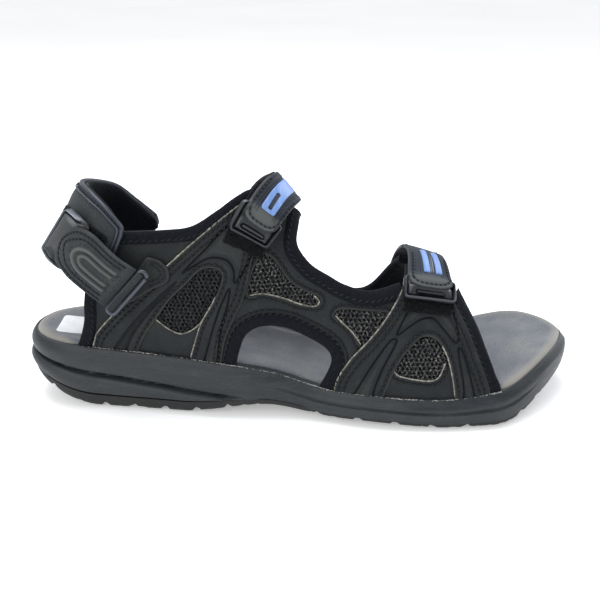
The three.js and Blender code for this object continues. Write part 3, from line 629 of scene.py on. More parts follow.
# Carbon-black rubber looks dull and browner, dusty on its high spots.
RUBBER = surface("carbon_black_rubber", [(0.3, "#1b1c1d"), (0.6, "#262626"), (0.85, "#322f2b")], 14, 0.9,
                 "#0d0e0f", 0.5, (0.6, 0.75), 0.08, IOR=1.52, **{"Specular IOR Level": 0.4})
# Microsuede has a short nap, cloudy where it lies in different ways, and beige at its glued edge.
SUEDE = surface("microsuede", [(0.28, "#66696c"), (0.5, "#757779"), (0.75, "#858580")], 14, 0.7, "#4b4e54",
                0.6, (0.86, 0.97), 0.12, edge_tint_and_highlight=("#938d80", 1.5, 5.5, 0.6),
                **{"Sheen Weight": 0.25, "Sheen Roughness": 0.5, "Specular IOR Level": 0.15})
# Dried polyurethane glue is off-white and slightly glossy, dulled by dust.
GLUE = surface("dried_glue", [(0.3, "#8f8d86"), (0.7, "#c9c8c2")], 1.0, 0.4, "#6d6b64", 0.3, (0.35, 0.6),
               0.05, IOR=1.5)

# %% [markdown]
# ## The sole
# The sidewall is one foam moulding. Its bands are a profile that changes along the shoe: at the heel
# an upper band rolls over a swollen middle band, and the middle band runs out before the arch, where
# a block is pressed in. Its skin is lofted from many loops, each moved in by that profile. The tread
# is a rubber sheet with a rounded edge and cross grooves, drawn from below.

# %% The profile of the sidewall
OUTSOLE_SHARE = 0.22
GROOVES_AT = [-128, -100, -84, -68, -52, -36, 8, 26, 44, 62, 80, 112, 124]
# Along the sole: where the heel's bands run out, and where the block and the front ledge start and stop.
HEEL_BANDS_END = (-44, -24)
BLOCK, LEDGE = ((-25, -21), (0, 4)), ((-20, -2), (106, 124))
CREASE = [[-146, 0.60], [-125, 0.60], [-100, 0.56], [-75, 0.49], [-55, 0.41], [-40, 0.32], [-28, 0.24]]


def hump(value, middle, half_width):
    """A smooth bump from 0 to 1 and back."""
    return np.clip(1 - ((value - middle) / half_width) ** 2, 0, 1) ** 2


def step_up(value, low, high):
    """A smooth step from 0 to 1."""
    t = np.clip((value - low) / (high - low), 0, 1)
    return t * t * (3 - 2 * t)


def from_to(x, start, stop):
    """1 along a stretch of the sole. start and stop are each the two ends of a smooth step."""
    return step_up(x, *start) * (1 - step_up(x, *stop))


def wall_inset(x, share):
    """How far the sidewall lies inside the sole's widest line, at a share of its height."""
    heel = 1 - step_up(x, *HEEL_BANDS_END)
    crease = along(CREASE, x)
    band = np.clip((share - OUTSOLE_SHARE) / np.maximum(crease - OUTSOLE_SHARE, 0.02), 0, 1)
    middle_band = 2.0 - 2.4 * np.sin(np.pi * np.clip(band * 0.92 + 0.08, 0, 1)) ** 0.8
    upper = np.clip((share - crease) / np.maximum(1 - crease, 0.02), 0, 1)
    upper_band = 1.5 - 1.1 * np.sin(np.pi * np.clip(upper * 0.8 + 0.05, 0, 1)) + 1.3 * upper ** 3
    at_heel = np.where(share < crease, middle_band, upper_band)
    at_heel = at_heel + 2.1 * hump(share, crease, 0.055) + 1.2 * hump(share, OUTSOLE_SHARE, 0.05)
    plain = 1.5 - 1.3 * np.sin(np.pi * np.clip(share, 0, 1)) + 1.5 * step_up(share, 0.72, 1)
    block = from_to(x, *BLOCK) * hump(share, 0.38, 0.3) ** 0.4
    ledge = hump(share, 0.60, 0.07) * from_to(x, *LEDGE)
    return heel * at_heel + (1 - heel) * (plain + 1.3 * block + 1.05 * ledge)


# %% Loops round the sole
def level(value):
    """The same value all along the sole."""
    return lambda x: x * 0 + value


def stations_of(count):
    """Places along the sole, closer together at the heel and the toe."""
    return -np.cos(math.pi * (np.arange(count) + 0.5) / count)


def sole_loop(stations, inset, height):
    """One closed loop round the sole, on its outer side to the toe and back on its inner side."""
    sides = []
    for side in (OUTER, INNER):
        x = stations * HALF_LENGTH
        moved_in = inset(x)
        x = stations * (HALF_LENGTH - moved_in)
        sides.append(np.stack([x, sole_edge(x, side, moved_in), height(x)], -1))
    return np.vstack([sides[0], sides[1][::-1]])


def loft(loops):
    """Triangles that join stacked loops and close both ends."""
    n = len(loops[0])
    i = np.arange(n)
    j = (i + 1) % n
    faces = []
    for k in range(len(loops) - 1):
        a, b = k * n, (k + 1) * n
        faces += [np.stack([a + i, a + j, b + j], -1), np.stack([a + i, b + j, b + i], -1)]
    half = np.arange(n // 2 - 1)
    top = (len(loops) - 1) * n
    first = np.stack([half, n - 2 - half, half + 1], -1)
    second = np.stack([half, (n - 1 - half) % n, n - 2 - half], -1)
    faces += [first, second, top + first[:, ::-1], top + second[:, ::-1]]
    vertices = np.vstack(loops)
    return vertices, outward(vertices, np.vstack(faces))


def at_share(share):
    return lambda x: tread(x) + share * (rim(x) - tread(x))


def midsole():
    """The foam sidewall, its rolled rim and the shallow cup that holds the footbed."""
    stations = stations_of(190)
    shares = OUTSOLE_SHARE + (1 - OUTSOLE_SHARE) * np.linspace(0, 1, 46)
    loops = [sole_loop(stations, level(4), at_share(OUTSOLE_SHARE))]
    for share in shares:
        loops.append(sole_loop(stations, lambda x: wall_inset(x, share), at_share(share)))
    for more, lift in ((0.35, 0.35), (0.95, 0.55), (2.0, 0.6)):
        loops.append(sole_loop(stations, lambda x: wall_inset(x, 1.0) + more, lambda x: rim(x) + lift))
    for inset, depth in ((8.1, -0.4), (8.3, 0.3), (8.3, 5.7)):
        loops.append(sole_loop(stations, level(inset), lambda x: rim(x) - depth))
    return make_piece("midsole_sidewall", *loft(loops), EVA, sharp=50)


settle(midsole(), "root", "foam_midsole", "midsole")

# %% The tread
TREAD_INSET, TREAD_ROUND = 1.3, 4.6
GROOVE_DEPTH, SIPE_DEPTH, SIPE_SPACING = 1.8, 0.5, 7.5


def plan_outline(inset, step=1.2):
    """The sole's outline seen from above, moved in by a distance that depends on x."""
    return even_loop(sole_loop(stations_of(260), inset, rim)[:, :2], step)


def tread_relief(points):
    """Depth of the tread's pattern: cross grooves and small diamonds."""
    x, y = points[:, 0], points[:, 1]
    sipes = np.abs(np.sin((x + y) * math.pi / SIPE_SPACING) * np.sin((x - y) * math.pi / SIPE_SPACING))
    depth = SIPE_DEPTH * (sipes < 0.12)
    for at in GROOVES_AT:
        bend = at + 3.0 * np.cos(y / 9.0)
        depth = np.maximum(depth, GROOVE_DEPTH * hump(x, bend, 2.0) ** 0.5)
    return depth


def outsole():
    """The rubber tread: its lower skin has the pattern and a rounded edge, its upper one is plain."""
    points, faces, edges = fill([plan_outline(level(TREAD_INSET))], 1.7, rings=(0.3, 0.8, 1.6, 2.8, 4.2))
    gap = distance_to(points, edges)
    ground, joint = tread(points[:, 0]), at_share(OUTSOLE_SHARE)(points[:, 0])
    height = joint - ground
    bottom = -rounded(gap, TREAD_ROUND) * np.minimum(height - 0.6, TREAD_ROUND)
    bottom += tread_relief(points) * np.clip(1.15 - gap / 60, 0.4, 1)
    bottom = ground + np.minimum(bottom, height - 0.5)
    top = joint + 0.05
    lower = np.column_stack([points, bottom])
    upper = np.column_stack([points, np.maximum(top, bottom + 0.3)])
    vertices, faces = with_thickness(lower, upper, faces)
    return make_piece("outsole_tread", vertices, faces, RUBBER, sharp=50)


settle(outsole(), "root", "rubber_outsole", "outsole")

# %% The footbed
BED_RISE = 0.9


def heel_dish(x, y):
    """The hollow under the heel bone."""
    return -0.9 * np.exp(-((x + 105) / 26) ** 2 - (y / 17) ** 2)


def bed_waves(x, y):
    """The slight waves of a cover glued over foam."""
    return 0.18 * np.sin(x / 7.3 + y / 11) * np.sin(y / 6.1)


def bed_inset(x):
    """The cover ends at the lining on the sides, and near the sole's edge at heel and toe."""
    open_end = np.maximum(1 - step_up(x, -124, -106), step_up(x, 92, 108))
    return 8.6 - 4.6 * open_end


def footbed_cover():
    """The microsuede cover: dished at the heel, with a rolled edge where nothing covers it."""
    loop = plan_outline(bed_inset)
    points, faces, edges = fill([loop], 2.4, rings=(0.25, 0.7, 1.3, 2.0, 3.0, 4.5, 6.5))
    x, y = points.T
    gap = distance_to(points, edges)
    open_end = np.maximum(1 - step_up(x, -124, -106), step_up(x, 88, 104))
    roll = 1.5 * np.exp(-((gap - 3.0) / 4.5) ** 2) * (0.35 + 0.65 * open_end)
    ball = -0.5 * np.exp(-((x - 62) / 22) ** 2 - ((y - 8) / 24) ** 2)
    top = (rim(x) + BED_RISE + roll + heel_dish(x, y) + ball + bed_waves(x, y)
           + rounded(gap, 2.2) * (1.2 + 0.9 * open_end))
    bottom = rim(x) - 0.6 + 0.55 * step_up(8.9 - (bed_inset(x) + gap), 0, 0.8)
    vertices, faces = with_thickness(np.column_stack([x, y, top]),
                                     np.column_stack([x, y, np.minimum(bottom, top - 0.3)]), faces)
    gap = np.tile(gap, 2) + 9 * (1 - np.tile(open_end, 2))
    return make_piece("footbed_suede_cover", vertices, faces, SUEDE, values={"edge": gap})


bed = settle(footbed_cover(), "root", "microsuede", "footbed_cover")
print("footbed cover has", len(bed.data.polygons), "faces")

# %% [markdown]
# The glue line is not painted on. Small flat beads of random size sit in the joint between the upper
# and the foam, thick in some places and missing in others, as the brush left them.

# %% Glue along the joint
GLUE_START, GLUE_END, GLUE_STEP = -112, 99, 0.42


def glue_specks():
    """Irregular beads along the rim on both sides."""
    random = np.random.default_rng(11)
    ball = [(0, 0, 1), (1, 0, 0), (0, 1, 0), (-1, 0, 0), (0, -1, 0), (0, 0, -1)]
    skin = [(0, 1, 2), (0, 2, 3), (0, 3, 4), (0, 4, 1), (5, 2, 1), (5, 3, 2), (5, 4, 3), (5, 1, 4)]
    vertices, faces = [], []
    patch = lambda x: 0.5 + 0.5 * math.sin(x / 4.7) * math.sin(x / 13 + 1)
    for side in (OUTER, INNER):
        for x in np.arange(GLUE_START, GLUE_END, GLUE_STEP):
            if random.random() > 0.25 + 0.7 * patch(x):
                continue
            inset = random.uniform(2.7, 3.6)
            size = random.uniform(0.14, 0.36) * (0.7 + 0.6 * patch(x))
            at = np.array([x, float(sole_edge(x, side, inset)), float(rim(x)) + 0.62])
            stretch = np.array([random.uniform(1, 2.2), 1, 0.8]) * size
            start = len(vertices) * len(ball)
            vertices.append(at + np.array(ball) * stretch)
            faces += [tuple(start + i for i in f) for f in skin]
    return make_piece("glue_specks", np.vstack(vertices), faces, GLUE, sharp=180)


settle(glue_specks(), "root", "foam_midsole")

# %% [markdown]
# ## The upper's materials
# The upper is synthetic nubuck, a microfibre coated with polyurethane and sanded to a short nap: matt
# charcoal with an olive cast, paler where it is rubbed and pale grey at a cut edge, where the uncoated
# backing shows. Under it lie an air mesh, which is a thick open knit, and a fine dark lining knit. The
# bare edges are bound with a soft elastic tape.

# %% Nubuck, thread, cut edges, knits and tape
def nubuck(name, dark, middle, light, edge_share):
    """Sanded microfibre. Nap of 0.4 mm, clouds of 10 mm, pale rubbed edges, navy painted shade in pressed
    places and a painted highlight on raised ones.
    """
    return surface(name, [(0.3, dark), (0.55, middle), (0.8, light)], 10, 0.45, "#0e1114", 0.62,
                   (0.6, 0.78), 0.10, edge_tint_and_highlight=("#4f504b", 0.2, 0.8, edge_share),
                   pressed=("#06080d", -0.55, -0.12, 0.93), raised=("#666863", 0.9, 0.2, 0.6), IOR=1.45,
                   **{"Sheen Weight": 0.06, "Sheen Roughness": 0.4, "Specular IOR Level": 0.22})


NUBUCK = nubuck("synthetic_nubuck", "#202326", "#2b2e2f", "#3b3c37", 0.4)
# Bonded polyester thread, nearly black, with its twist.
THREAD = surface("polyester_thread", [(0.3, "#050609"), (0.7, "#14161b")], 2.5, 0.4, "#020304", 0.5,
                 (0.45, 0.6), 0.06, IOR=1.5, **{"Specular IOR Level": 0.3})
# The uncoated backing at a cut edge is pale and dry, with dark fibres.
BACKING = surface("cut_backing", [(0.3, "#605e56"), (0.5, "#98958a"), (0.72, "#bdb9ac")], 2.2, 0.7,
                  "#2f2e2a", 0.6, (0.8, 0.95), 0.06, IOR=1.45, **{"Specular IOR Level": 0.2})
# Jersey over foam is nearly black, with courses drawn a little coarser than real ones.
JERSEY = surface("lining_jersey", [(0.3, "#0a0c12"), (0.6, "#11141c"), (0.8, "#1a1e29")], 8, 0.6, "#030407",
                 0.6, (0.85, 1.0), 0.12, ribs=0.9,
                 **{"Sheen Weight": 0.15, "Sheen Roughness": 0.4, "Specular IOR Level": 0.12})


def air_mesh(name, yarn, painted_glint):
    """Spacer knit of 0.9 mm yarn: glossy, with painted glints, and painted black shade in its holes, which
    are shaped.
    """
    return surface(name, [(0.38, "#080a0f"), (0.52, yarn), (0.66, painted_glint)], 0.9, 0.4, "#020305", 0.9,
                   (0.35, 0.6), 0.15, pressed=("#010102", -0.7, -0.12, 0.98), IOR=1.5,
                   **{"Specular IOR Level": 0.35})


AIR_MESH = air_mesh("spacer_knit", "#1d2025", "#8d8c83")
# The quarter's window takes a darker copy of the same knit, with dimmer painted glints.
DARK_MESH = air_mesh("spacer_knit_dark", "#0d1017", "#3a3c3f")
# Elastic knit tape. Its ribs are part of its shape, and a nap lies on them.
TAPE = surface("elastic_binding", [(0.3, "#0d0f14"), (0.55, "#171a21"), (0.8, "#262930")], 1.3, 0.4,
               "#040507", 0.75, (0.85, 1.0), 0.14,
               **{"Sheen Weight": 0.12, "Sheen Roughness": 0.35, "Specular IOR Level": 0.15})

# %% [markdown]
# ## Cutting the upper
# Each side is cut from flat patterns. The lining and the quarter share one outline. Over them lies an
# overlay like the letter A, with two legs down to the sole and an arch over a mesh window. Slots and
# an arrow-shaped field are pressed into it with a hot tool. The inner side repeats the outer one with
# a lower topline.

# %% Patterns for both sides, as [along the foot, height above the ground]
PATTERN = {
    OUTER: {
        "rear": [[-115.5, 32], [-112.5, 40], [-110.5, 48], [-110, 56], [-109, 63]],
        "shoulder": [[-109, 63], [-101.5, 68.5], [-97.5, 76], [-94.5, 86], [-91.5, 94.5]],
        "topline": [[-91.5, 94.5], [-80, 95.2], [-68, 96], [-54, 98], [-42, 105], [-33, 111],
                    [-26, 113.5], [-20, 109.5]],
        "throat": [[-3, 93], [-3.5, 87], [-1, 82], [5, 76], [14, 71], [21, 67.5], [32, 64.5], [44, 65.5]],
        "vamp_top": [[50, 66], [60, 65.5], [71, 62]],
        "toe": [[79, 59.5], [82, 54.5], [87, 46], [91, 37], [95, 28], [98, 20], [98.5, 14]],
        "arch": [[-33.5, 25], [-31, 36], [-27.5, 44], [-20, 48], [-9, 47.2], [2, 43], [12, 38],
                 [15.3, 33], [13.5, 26], [8, 15]],
        "seam": [[24, 14], [27, 28], [35, 39], [43, 48.5], [50, 58]],
        "quarter_mesh": [[-49, 77], [-42, 77.5], [-39, 73], [-43.5, 61], [-48, 52], [-55, 45.5],
                         [-61, 43], [-68, 46], [-73, 50], [-65, 61], [-57, 69]],
        "quarter_lip": [[-73, 50], [-67, 45.5], [-60.5, 43], [-54.5, 45.5], [-49.5, 50]],
        "instep_mesh": [[-20, 83], [-14.5, 80], [-7, 70], [1, 64.8], [9, 61.5], [8, 58], [-1, 58.5],
                        [-9, 61.5], [-19, 64.5], [-26.5, 64], [-25, 74]],
        "instep_lip": [[-26, 64], [-19, 64.5], [-9, 61.7], [-1, 58.7], [6.5, 57.6], [9, 60], [6, 62.5]],
        "ball_mesh": [[16.5, 53.5], [19.5, 56.5], [30, 56], [44, 54], [37, 47], [30.5, 40],
                      [25.5, 46.5], [20, 51]],
        "ball_lip": [[17, 53.8], [20.5, 50.6], [25.5, 46.3], [29.5, 41]],
        "vamp_mesh": [[46, 29.5], [50, 36], [57, 43], [62, 44], [67, 41.5], [71.5, 34], [70, 28],
                      [63, 24.4], [55, 25], [49, 27]],
        "vamp_lip": [[45.5, 29], [48, 26.6], [55, 25], [63, 24.2], [67.5, 26], [70.5, 32.5]],
        "a_back": [[-107.5, 31], [-105, 39], [-99, 47], [-85, 61], [-63, 81], [-52, 91], [-40, 101],
                   [-31, 107.5]],
        "a_front": [[-18, 103], [-24, 86], [-28.5, 64], [-34.5, 50], [-38.5, 39], [-40.3, 26]],
        "a_gap": [[-57, 26], [-53.5, 38], [-49.5, 50], [-43.5, 61], [-39, 73], [-42, 77.5], [-49, 77],
                  [-57, 69], [-65, 61], [-73, 50], [-79, 41], [-84.5, 29]],
        "slots": [[[-99, 27], [-90, 42], [-80, 54], [-69, 65], [-61, 71.5], [-62, 68.5], [-69, 60.5],
                   [-77, 51.5], [-85, 40], [-91, 27]],
                  [[-49.3, 25], [-45.5, 41], [-40.5, 57], [-35.5, 68], [-36.3, 60], [-40, 46],
                   [-43.3, 25]]],
        "field": [[-58, 75.5], [-47, 87], [-36, 98], [-29, 93], [-25.5, 85], [-29, 76], [-33, 70.5],
                  [-33.5, 77], [-37, 82], [-45, 83], [-53, 78.5]],
        "v_back": [[16.5, 12], [19, 23], [25, 33.5], [31.5, 41], [38, 48.5], [44, 56], [49, 63]],
        "v_gap": [[75.6, 12], [74.5, 22], [71.5, 34], [67, 41.5], [62, 44], [57, 43], [50, 36], [46, 29.5],
                  [43, 22], [39.5, 12]],
        "v_slots": [[[25, 10], [30, 22], [36, 33], [43, 42.5], [46.5, 43.5], [45, 39.5], [40.5, 31],
                     [36.5, 20], [34.5, 10]],
                    [[80.5, 10], [79.3, 22], [76.3, 37.5], [78.8, 36], [83, 24], [86, 10]]],
        "v_field": [[46.5, 45.5], [52, 48.2], [58, 51], [64, 51], [69, 46.5], [75, 40.5], [76.5, 43],
                    [74.5, 51], [71, 60], [58, 62.5], [51.5, 54.5]],
    },
    INNER: {
        "rear": [[-115.5, 32], [-112.5, 40], [-110.5, 48], [-110, 56], [-109, 62]],
        "shoulder": [[-109, 62], [-101, 65.5], [-93, 69], [-85, 72], [-78.5, 74]],
        "topline": [[-79, 76.5], [-66, 77], [-56, 79], [-47, 85], [-40, 92], [-33, 100], [-27, 106]],
        "throat": [[-3, 86], [-3.5, 78], [-1, 69], [6, 59], [16, 51], [25, 46], [31, 44.3],
                   [36, 44.6], [41, 48], [46, 55], [50, 62]],
        "vamp_top": [[57, 63], [63, 64.5], [70, 62.5]],
        "toe": [[77, 58], [81, 51], [85, 43], [88, 34], [90, 25], [91.5, 14]],
        "arch": [[-28.5, 24], [-25, 33.5], [-17, 36], [-7, 35.2], [2, 32], [7.5, 26], [8, 15]],
        "seam": [[20, 14], [23, 24], [26, 30.5], [30, 37]],
        "quarter_mesh": [[-50, 68], [-43, 68], [-40, 64], [-43.5, 57], [-48, 50], [-55, 44.5], [-62, 43],
                         [-68, 44.5], [-72, 48], [-65, 56], [-57, 63]],
        "quarter_lip": [[-72, 48], [-67, 44.3], [-61, 43], [-55, 44.6], [-49.5, 48.5]],
        "instep_mesh": [[-20, 76], [-14, 74], [-9, 64], [-3, 55], [3, 48], [-2, 44], [-12, 47],
                        [-20, 50], [-26, 55], [-25, 66]],
        "instep_lip": [[-26, 55], [-20, 50.2], [-12, 47.2], [-2, 44.2], [3, 48]],
        "vamp_mesh": [[48, 29], [52, 36], [58, 42], [63, 42.5], [68, 39.5], [71.3, 33], [69, 27],
                      [63, 24.4], [56, 25], [50, 27]],
        "vamp_lip": [[47.5, 28.7], [50, 26.6], [56, 25], [63, 24.3], [68, 26], [70.8, 32]],
        "a_back": [[-107.5, 31], [-105, 39], [-99, 46], [-85, 57], [-66, 68], [-55, 70.5], [-48, 75],
                   [-41, 81], [-34, 88]],
        "a_front": [[-21, 88], [-24, 80], [-28, 70], [-30.5, 56], [-34, 43], [-37, 25]],
        "a_gap": [[-56, 26], [-52.5, 38], [-48, 50], [-43.5, 57], [-40, 64], [-43, 68], [-50, 68], [-57, 63],
                  [-65, 56], [-72, 48], [-78, 40], [-83, 29]],
        "slots": [[[-99, 27], [-90, 41], [-80, 50.5], [-70, 58], [-61, 62.5], [-64, 59.5], [-71, 53.5],
                   [-78, 46], [-85, 38], [-90, 27]],
                  [[-48.5, 24], [-45, 39], [-40.5, 50], [-36.5, 59], [-37, 52], [-40, 42], [-42.5, 24]]],
        "field": [[-50, 71], [-43, 76], [-36, 83], [-30, 80], [-29.5, 72], [-33, 64], [-35, 69],
                  [-39, 72]],
        "v_back": [[16.5, 12], [20, 22], [26, 30], [33, 36], [39, 38.5], [44, 43], [49, 51], [53, 60]],
        "v_gap": [[75.3, 12], [74.4, 22], [71.3, 33], [68, 39.5], [63, 42.5], [58, 42], [52, 36], [48, 29],
                  [45, 22], [42, 12]],
        "v_slots": [[[26, 10], [31, 22], [38, 31], [44, 38], [46.5, 38.5], [45, 34], [41, 27],
                     [37.5, 19], [36, 10]],
                    [[79, 10], [78.2, 22], [76, 35], [78, 34], [81.5, 24], [83.5, 10]]],
        "v_field": [[49, 43.5], [54, 46.5], [60, 48.6], [66, 47.5], [71, 43.5], [74, 42], [74, 47],
                    [70, 56], [58.5, 57]],
    },
}


# How far a panel's edge lies inside the tape that binds it, and how far the overlay stops short of it.
UNDER_TAPE, OVERLAY_BACK = 1.2, 5.2


def outlines(cut):
    """The flat outlines of one side, with its smooth lines. Lines of windows are closed."""
    line = {k: smooth(v) for k, v in cut.items() if isinstance(v[0][0], (int, float))}
    line |= {k: closed_line(smooth(cut[k], closed=True)) for k in cut if k.endswith("_mesh")}
    hidden = {k: line[k] - normals_of(line[k]) * UNDER_TAPE for k in ("rear", "topline", "throat", "toe")}
    arch = line["arch"] + normals_of(line["arch"]) * UNDER_TAPE
    back_throat = hidden["throat"][hidden["throat"][:, 0] < cut["seam"][-1][0] + 1]
    rear = np.vstack([arch, line["seam"], back_throat[::-1], hidden["topline"][::-1],
                      line["shoulder"][::-1], hidden["rear"][::-1]])
    front_throat = hidden["throat"][hidden["throat"][:, 0] > cut["seam"][-1][0] + 0.5]
    front = np.vstack([hidden["toe"][::-1], line["vamp_top"][::-1], front_throat[::-1],
                       line["seam"][::-1]])
    overlay = np.vstack([line["a_back"], line["a_front"], line["a_gap"]])
    under = shifted(line["toe"], -OVERLAY_BACK)
    under = under[under[:, 1] < line["vamp_top"][-1][1] - 1]
    vamp_overlay = np.vstack([line["v_back"], under, line["v_gap"]])
    return line, {"rear": rear, "front": front, "overlay": overlay, "vamp_overlay": vamp_overlay}


# %% [markdown]
# Pressed shapes and seams change the height of a panel's skin. A recess steps down inside its
# outline, with a soft pillow in its middle. A seam pulls the skin down along its stitches, so the
# leather swells a little on both sides of it. Points are added along every such line, so that the
# steps are crisp.

# %% Relief of pressed shapes and seams
def recess(points, loop, depth=0.6):
    """A pressed slot: a steep wall at its outline and a small swell outside."""
    gap = distance_to(points, [closed_line(loop)])
    inner = -depth * step_up(gap, 0, 0.55) + 0.3 * step_up(gap, 1.2, 2.6)
    return np.where(inside(points, [loop]), inner, 0.15 * hump(gap, 0.55, 0.6))


def groove(points, loop, swell, depth=0.85, width=0.75):
    """A line pressed round a shape, whose middle swells or sinks a little."""
    gap = distance_to(points, [closed_line(loop)])
    return swell * step_up(gap, 0.8, 2.4) * inside(points, [loop]) - depth * hump(gap, 0, width)


def seam_dip(points, rows, depth=0.42, width=1.0):
    """The dip along rows of stitches."""
    return -depth * hump(distance_to(points, rows), 0, width) if rows else 0


def beside(line, offsets, step=0.75):
    """Points along a line and beside it, for the net to follow."""
    even = evenly(line, step)
    return np.vstack([even + normals_of(even) * offset for offset in offsets])


def net_relief(points):
    """The holes of an air mesh, 2.2 mm apart, in rows 2.0 mm apart that wander a little."""
    wander = 0.35 * np.sin(points[:, 1] * 0.9 + points[:, 0] * 0.31)
    across, down = (points[:, 0] + wander) / 2.2, points[:, 1] / 2.0
    row = np.round(down)
    shift = 0.5 * (row % 2)
    gap = np.hypot((across - shift - np.round(across - shift)) * 2.5, (down - row) * 1.75)
    twist = 0.16 * np.sin(points[:, 0] * 5.1 + points[:, 1] * 3.3)
    return twist - 0.95 * (1 - step_up(gap, 0.42, 0.88))


# %% Building one side
LINING_LAYER, MESH_LAYER, SHELL_LAYER, OVERLAY_LAYER = (0, 1.7), (1.2, 3.0), (1.6, 3.1), (3.0, 4.6)
# Each row of stitches follows a line of the pattern, so many millimetres to its left.
REAR_SEAMS = (("instep_mesh", 1.9), ("ball_mesh", 1.9), ("quarter_lip", 2.0), ("arch", 8.2))
FRONT_SEAMS = (("vamp_lip", -2.0),)
A_SEAMS = (("a_back", -1.9), ("a_back", -4.5), ("a_front", -1.7), ("a_front", -4.1), ("a_gap", -1.9))
V_SEAMS = (("v_back", -1.9), ("v_back", -4.4), ("v_gap", -2.0), ("toe", -8.0), ("toe", -10.6))
# Heights of the stitches and of the pale cut edges, which sink a little into the leather.
SHELL_STITCHES, OVERLAY_STITCHES, WINDOW_CUTS, OVERLAY_CUTS = 2.95, 4.45, 3.05, 4.3
# How much of each overlay line shows a pale cut edge.
CUT_EDGES = (("a_back", 1), ("v_back", 1), ("v_gap", 0.38), ("a_gap", 1 / 3))


def sewn_panel(name, loops, side, layer, rows, slots, fields, node):
    """A nubuck panel with its seams, pressed slots and outlined fields."""
    slots = [smooth(slot, closed=True) for slot in slots]
    fields = [smooth(field, closed=True) for field in fields]
    marks = [beside(row, (-0.8, 0, 0.8)) for row in rows]
    marks += [beside(closed_line(shape), (-0.5, 0, 0.5)) for shape in slots + fields]

    def relief(points):
        height = seam_dip(points, rows) + np.zeros(len(points))
        height += sum(recess(points, slot) for slot in slots)
        return height + sum(groove(points, field, 0.3) for field in fields)

    made = panel(name, loops, on_side(side), layer, NUBUCK, relief, 1.25, 0.8, marks)
    return settle(made, "root", "nubuck", node)


def trimmed(line, low=0.8):
    """The part of a line that stays above the sole."""
    return line[line[:, 1] > rim(line[:, 0]) + low]


def build_side(side):
    """All the panels, mesh patches, seams and cut edges of one side."""
    cut, word = PATTERN[side], SIDE_NAME[side]
    line, flat = outlines(cut)
    place = on_side(side)
    window = {k: line[k][:-1] for k in cut if k.endswith("_mesh")}
    in_rear = [window[k] for k in ("quarter_mesh", "instep_mesh", "ball_mesh") if k in window]
    for part, loop in (("rear_lining", flat["rear"]), ("front_lining", flat["front"])):
        made = panel(f"{word}_{part}_jersey", [loop], place, LINING_LAYER, JERSEY, spacing=2.2)
        settle(made, "root", "lining_knit", f"{word}_{part}")
    rear_rows, front_rows, a_rows, v_rows = (
        [trimmed(shifted(line[key], distance)) for key, distance in seams if key in cut]
        for seams in (REAR_SEAMS, FRONT_SEAMS, A_SEAMS, V_SEAMS))
    sewn_panel(f"{word}_quarter_nubuck", [flat["rear"], *in_rear], side, SHELL_LAYER, rear_rows, [], [],
               f"{word}_quarter")
    sewn_panel(f"{word}_vamp_nubuck", [flat["front"], window["vamp_mesh"]], side, SHELL_LAYER,
               front_rows, [], [], f"{word}_vamp")
    sewn_panel(f"{word}_quarter_overlay_nubuck", [flat["overlay"]], side, OVERLAY_LAYER, a_rows,
               cut["slots"][:1], [*cut["slots"][1:], cut["field"]], f"{word}_quarter_overlay")
    sewn_panel(f"{word}_vamp_overlay_nubuck", [flat["vamp_overlay"]], side, OVERLAY_LAYER, v_rows,
               [], [*cut["v_slots"], cut["v_field"]], f"{word}_vamp_overlay")
    for key, loop in window.items():
        knit = DARK_MESH if key == "quarter_mesh" else AIR_MESH
        made = panel(f"{word}_{key}_knit", [loop], place, MESH_LAYER, knit, net_relief, 0.45, 0.4,
                     rings=(0.4,))
        settle(made, "root", "air_mesh", f"{word}_{key}")
    settle(sewn(f"{word}_shell_stitches", rear_rows + front_rows, place, SHELL_STITCHES, THREAD),
           "root", "nubuck")
    settle(sewn(f"{word}_overlay_stitches", a_rows + v_rows, place, OVERLAY_STITCHES, THREAD),
           "root", "nubuck")
    high = [trimmed(line[key][:int(len(line[key]) * share)]) for key, share in CUT_EDGES]
    low = [trimmed(line[key]) for key in cut if key.endswith("_lip")]
    settle(bead(f"{word}_overlay_cut_edges", high, place, OVERLAY_CUTS, BACKING, 0.34, wobble=0.35),
           "root", "nubuck")
    settle(bead(f"{word}_window_cut_edges", low, place, WINDOW_CUTS, BACKING, 0.36, wobble=0.35),
           "root", "nubuck")
    print(word, "side:", len(a_rows) + len(v_rows) + len(rear_rows) + 1, "seams")


for foot_side in (OUTER, INNER):
    build_side(foot_side)

# %% [markdown]
# ## Bindings
# Elastic tape is folded over each bare edge and sewn with a slanted stitch. Its section is a
# flattened loop that wraps the edge. Fine ribs run across the tape, and it swells between stitches,
# so both are shaped along its length.

# %% Tape folded over the edges
TAPE_WIDTH, TAPE_TOP, TAPE_BOTTOM = 6.9, 4.45, -0.3
TAPE_STEP, TAPE_RIB, TAPE_SWELL = 0.42, 1.26, 4.2
# How far the throat's tape runs on under the straps, at its start and its end.
THROAT_HIDDEN = {OUTER: (6, 4), INNER: (6, 5)}


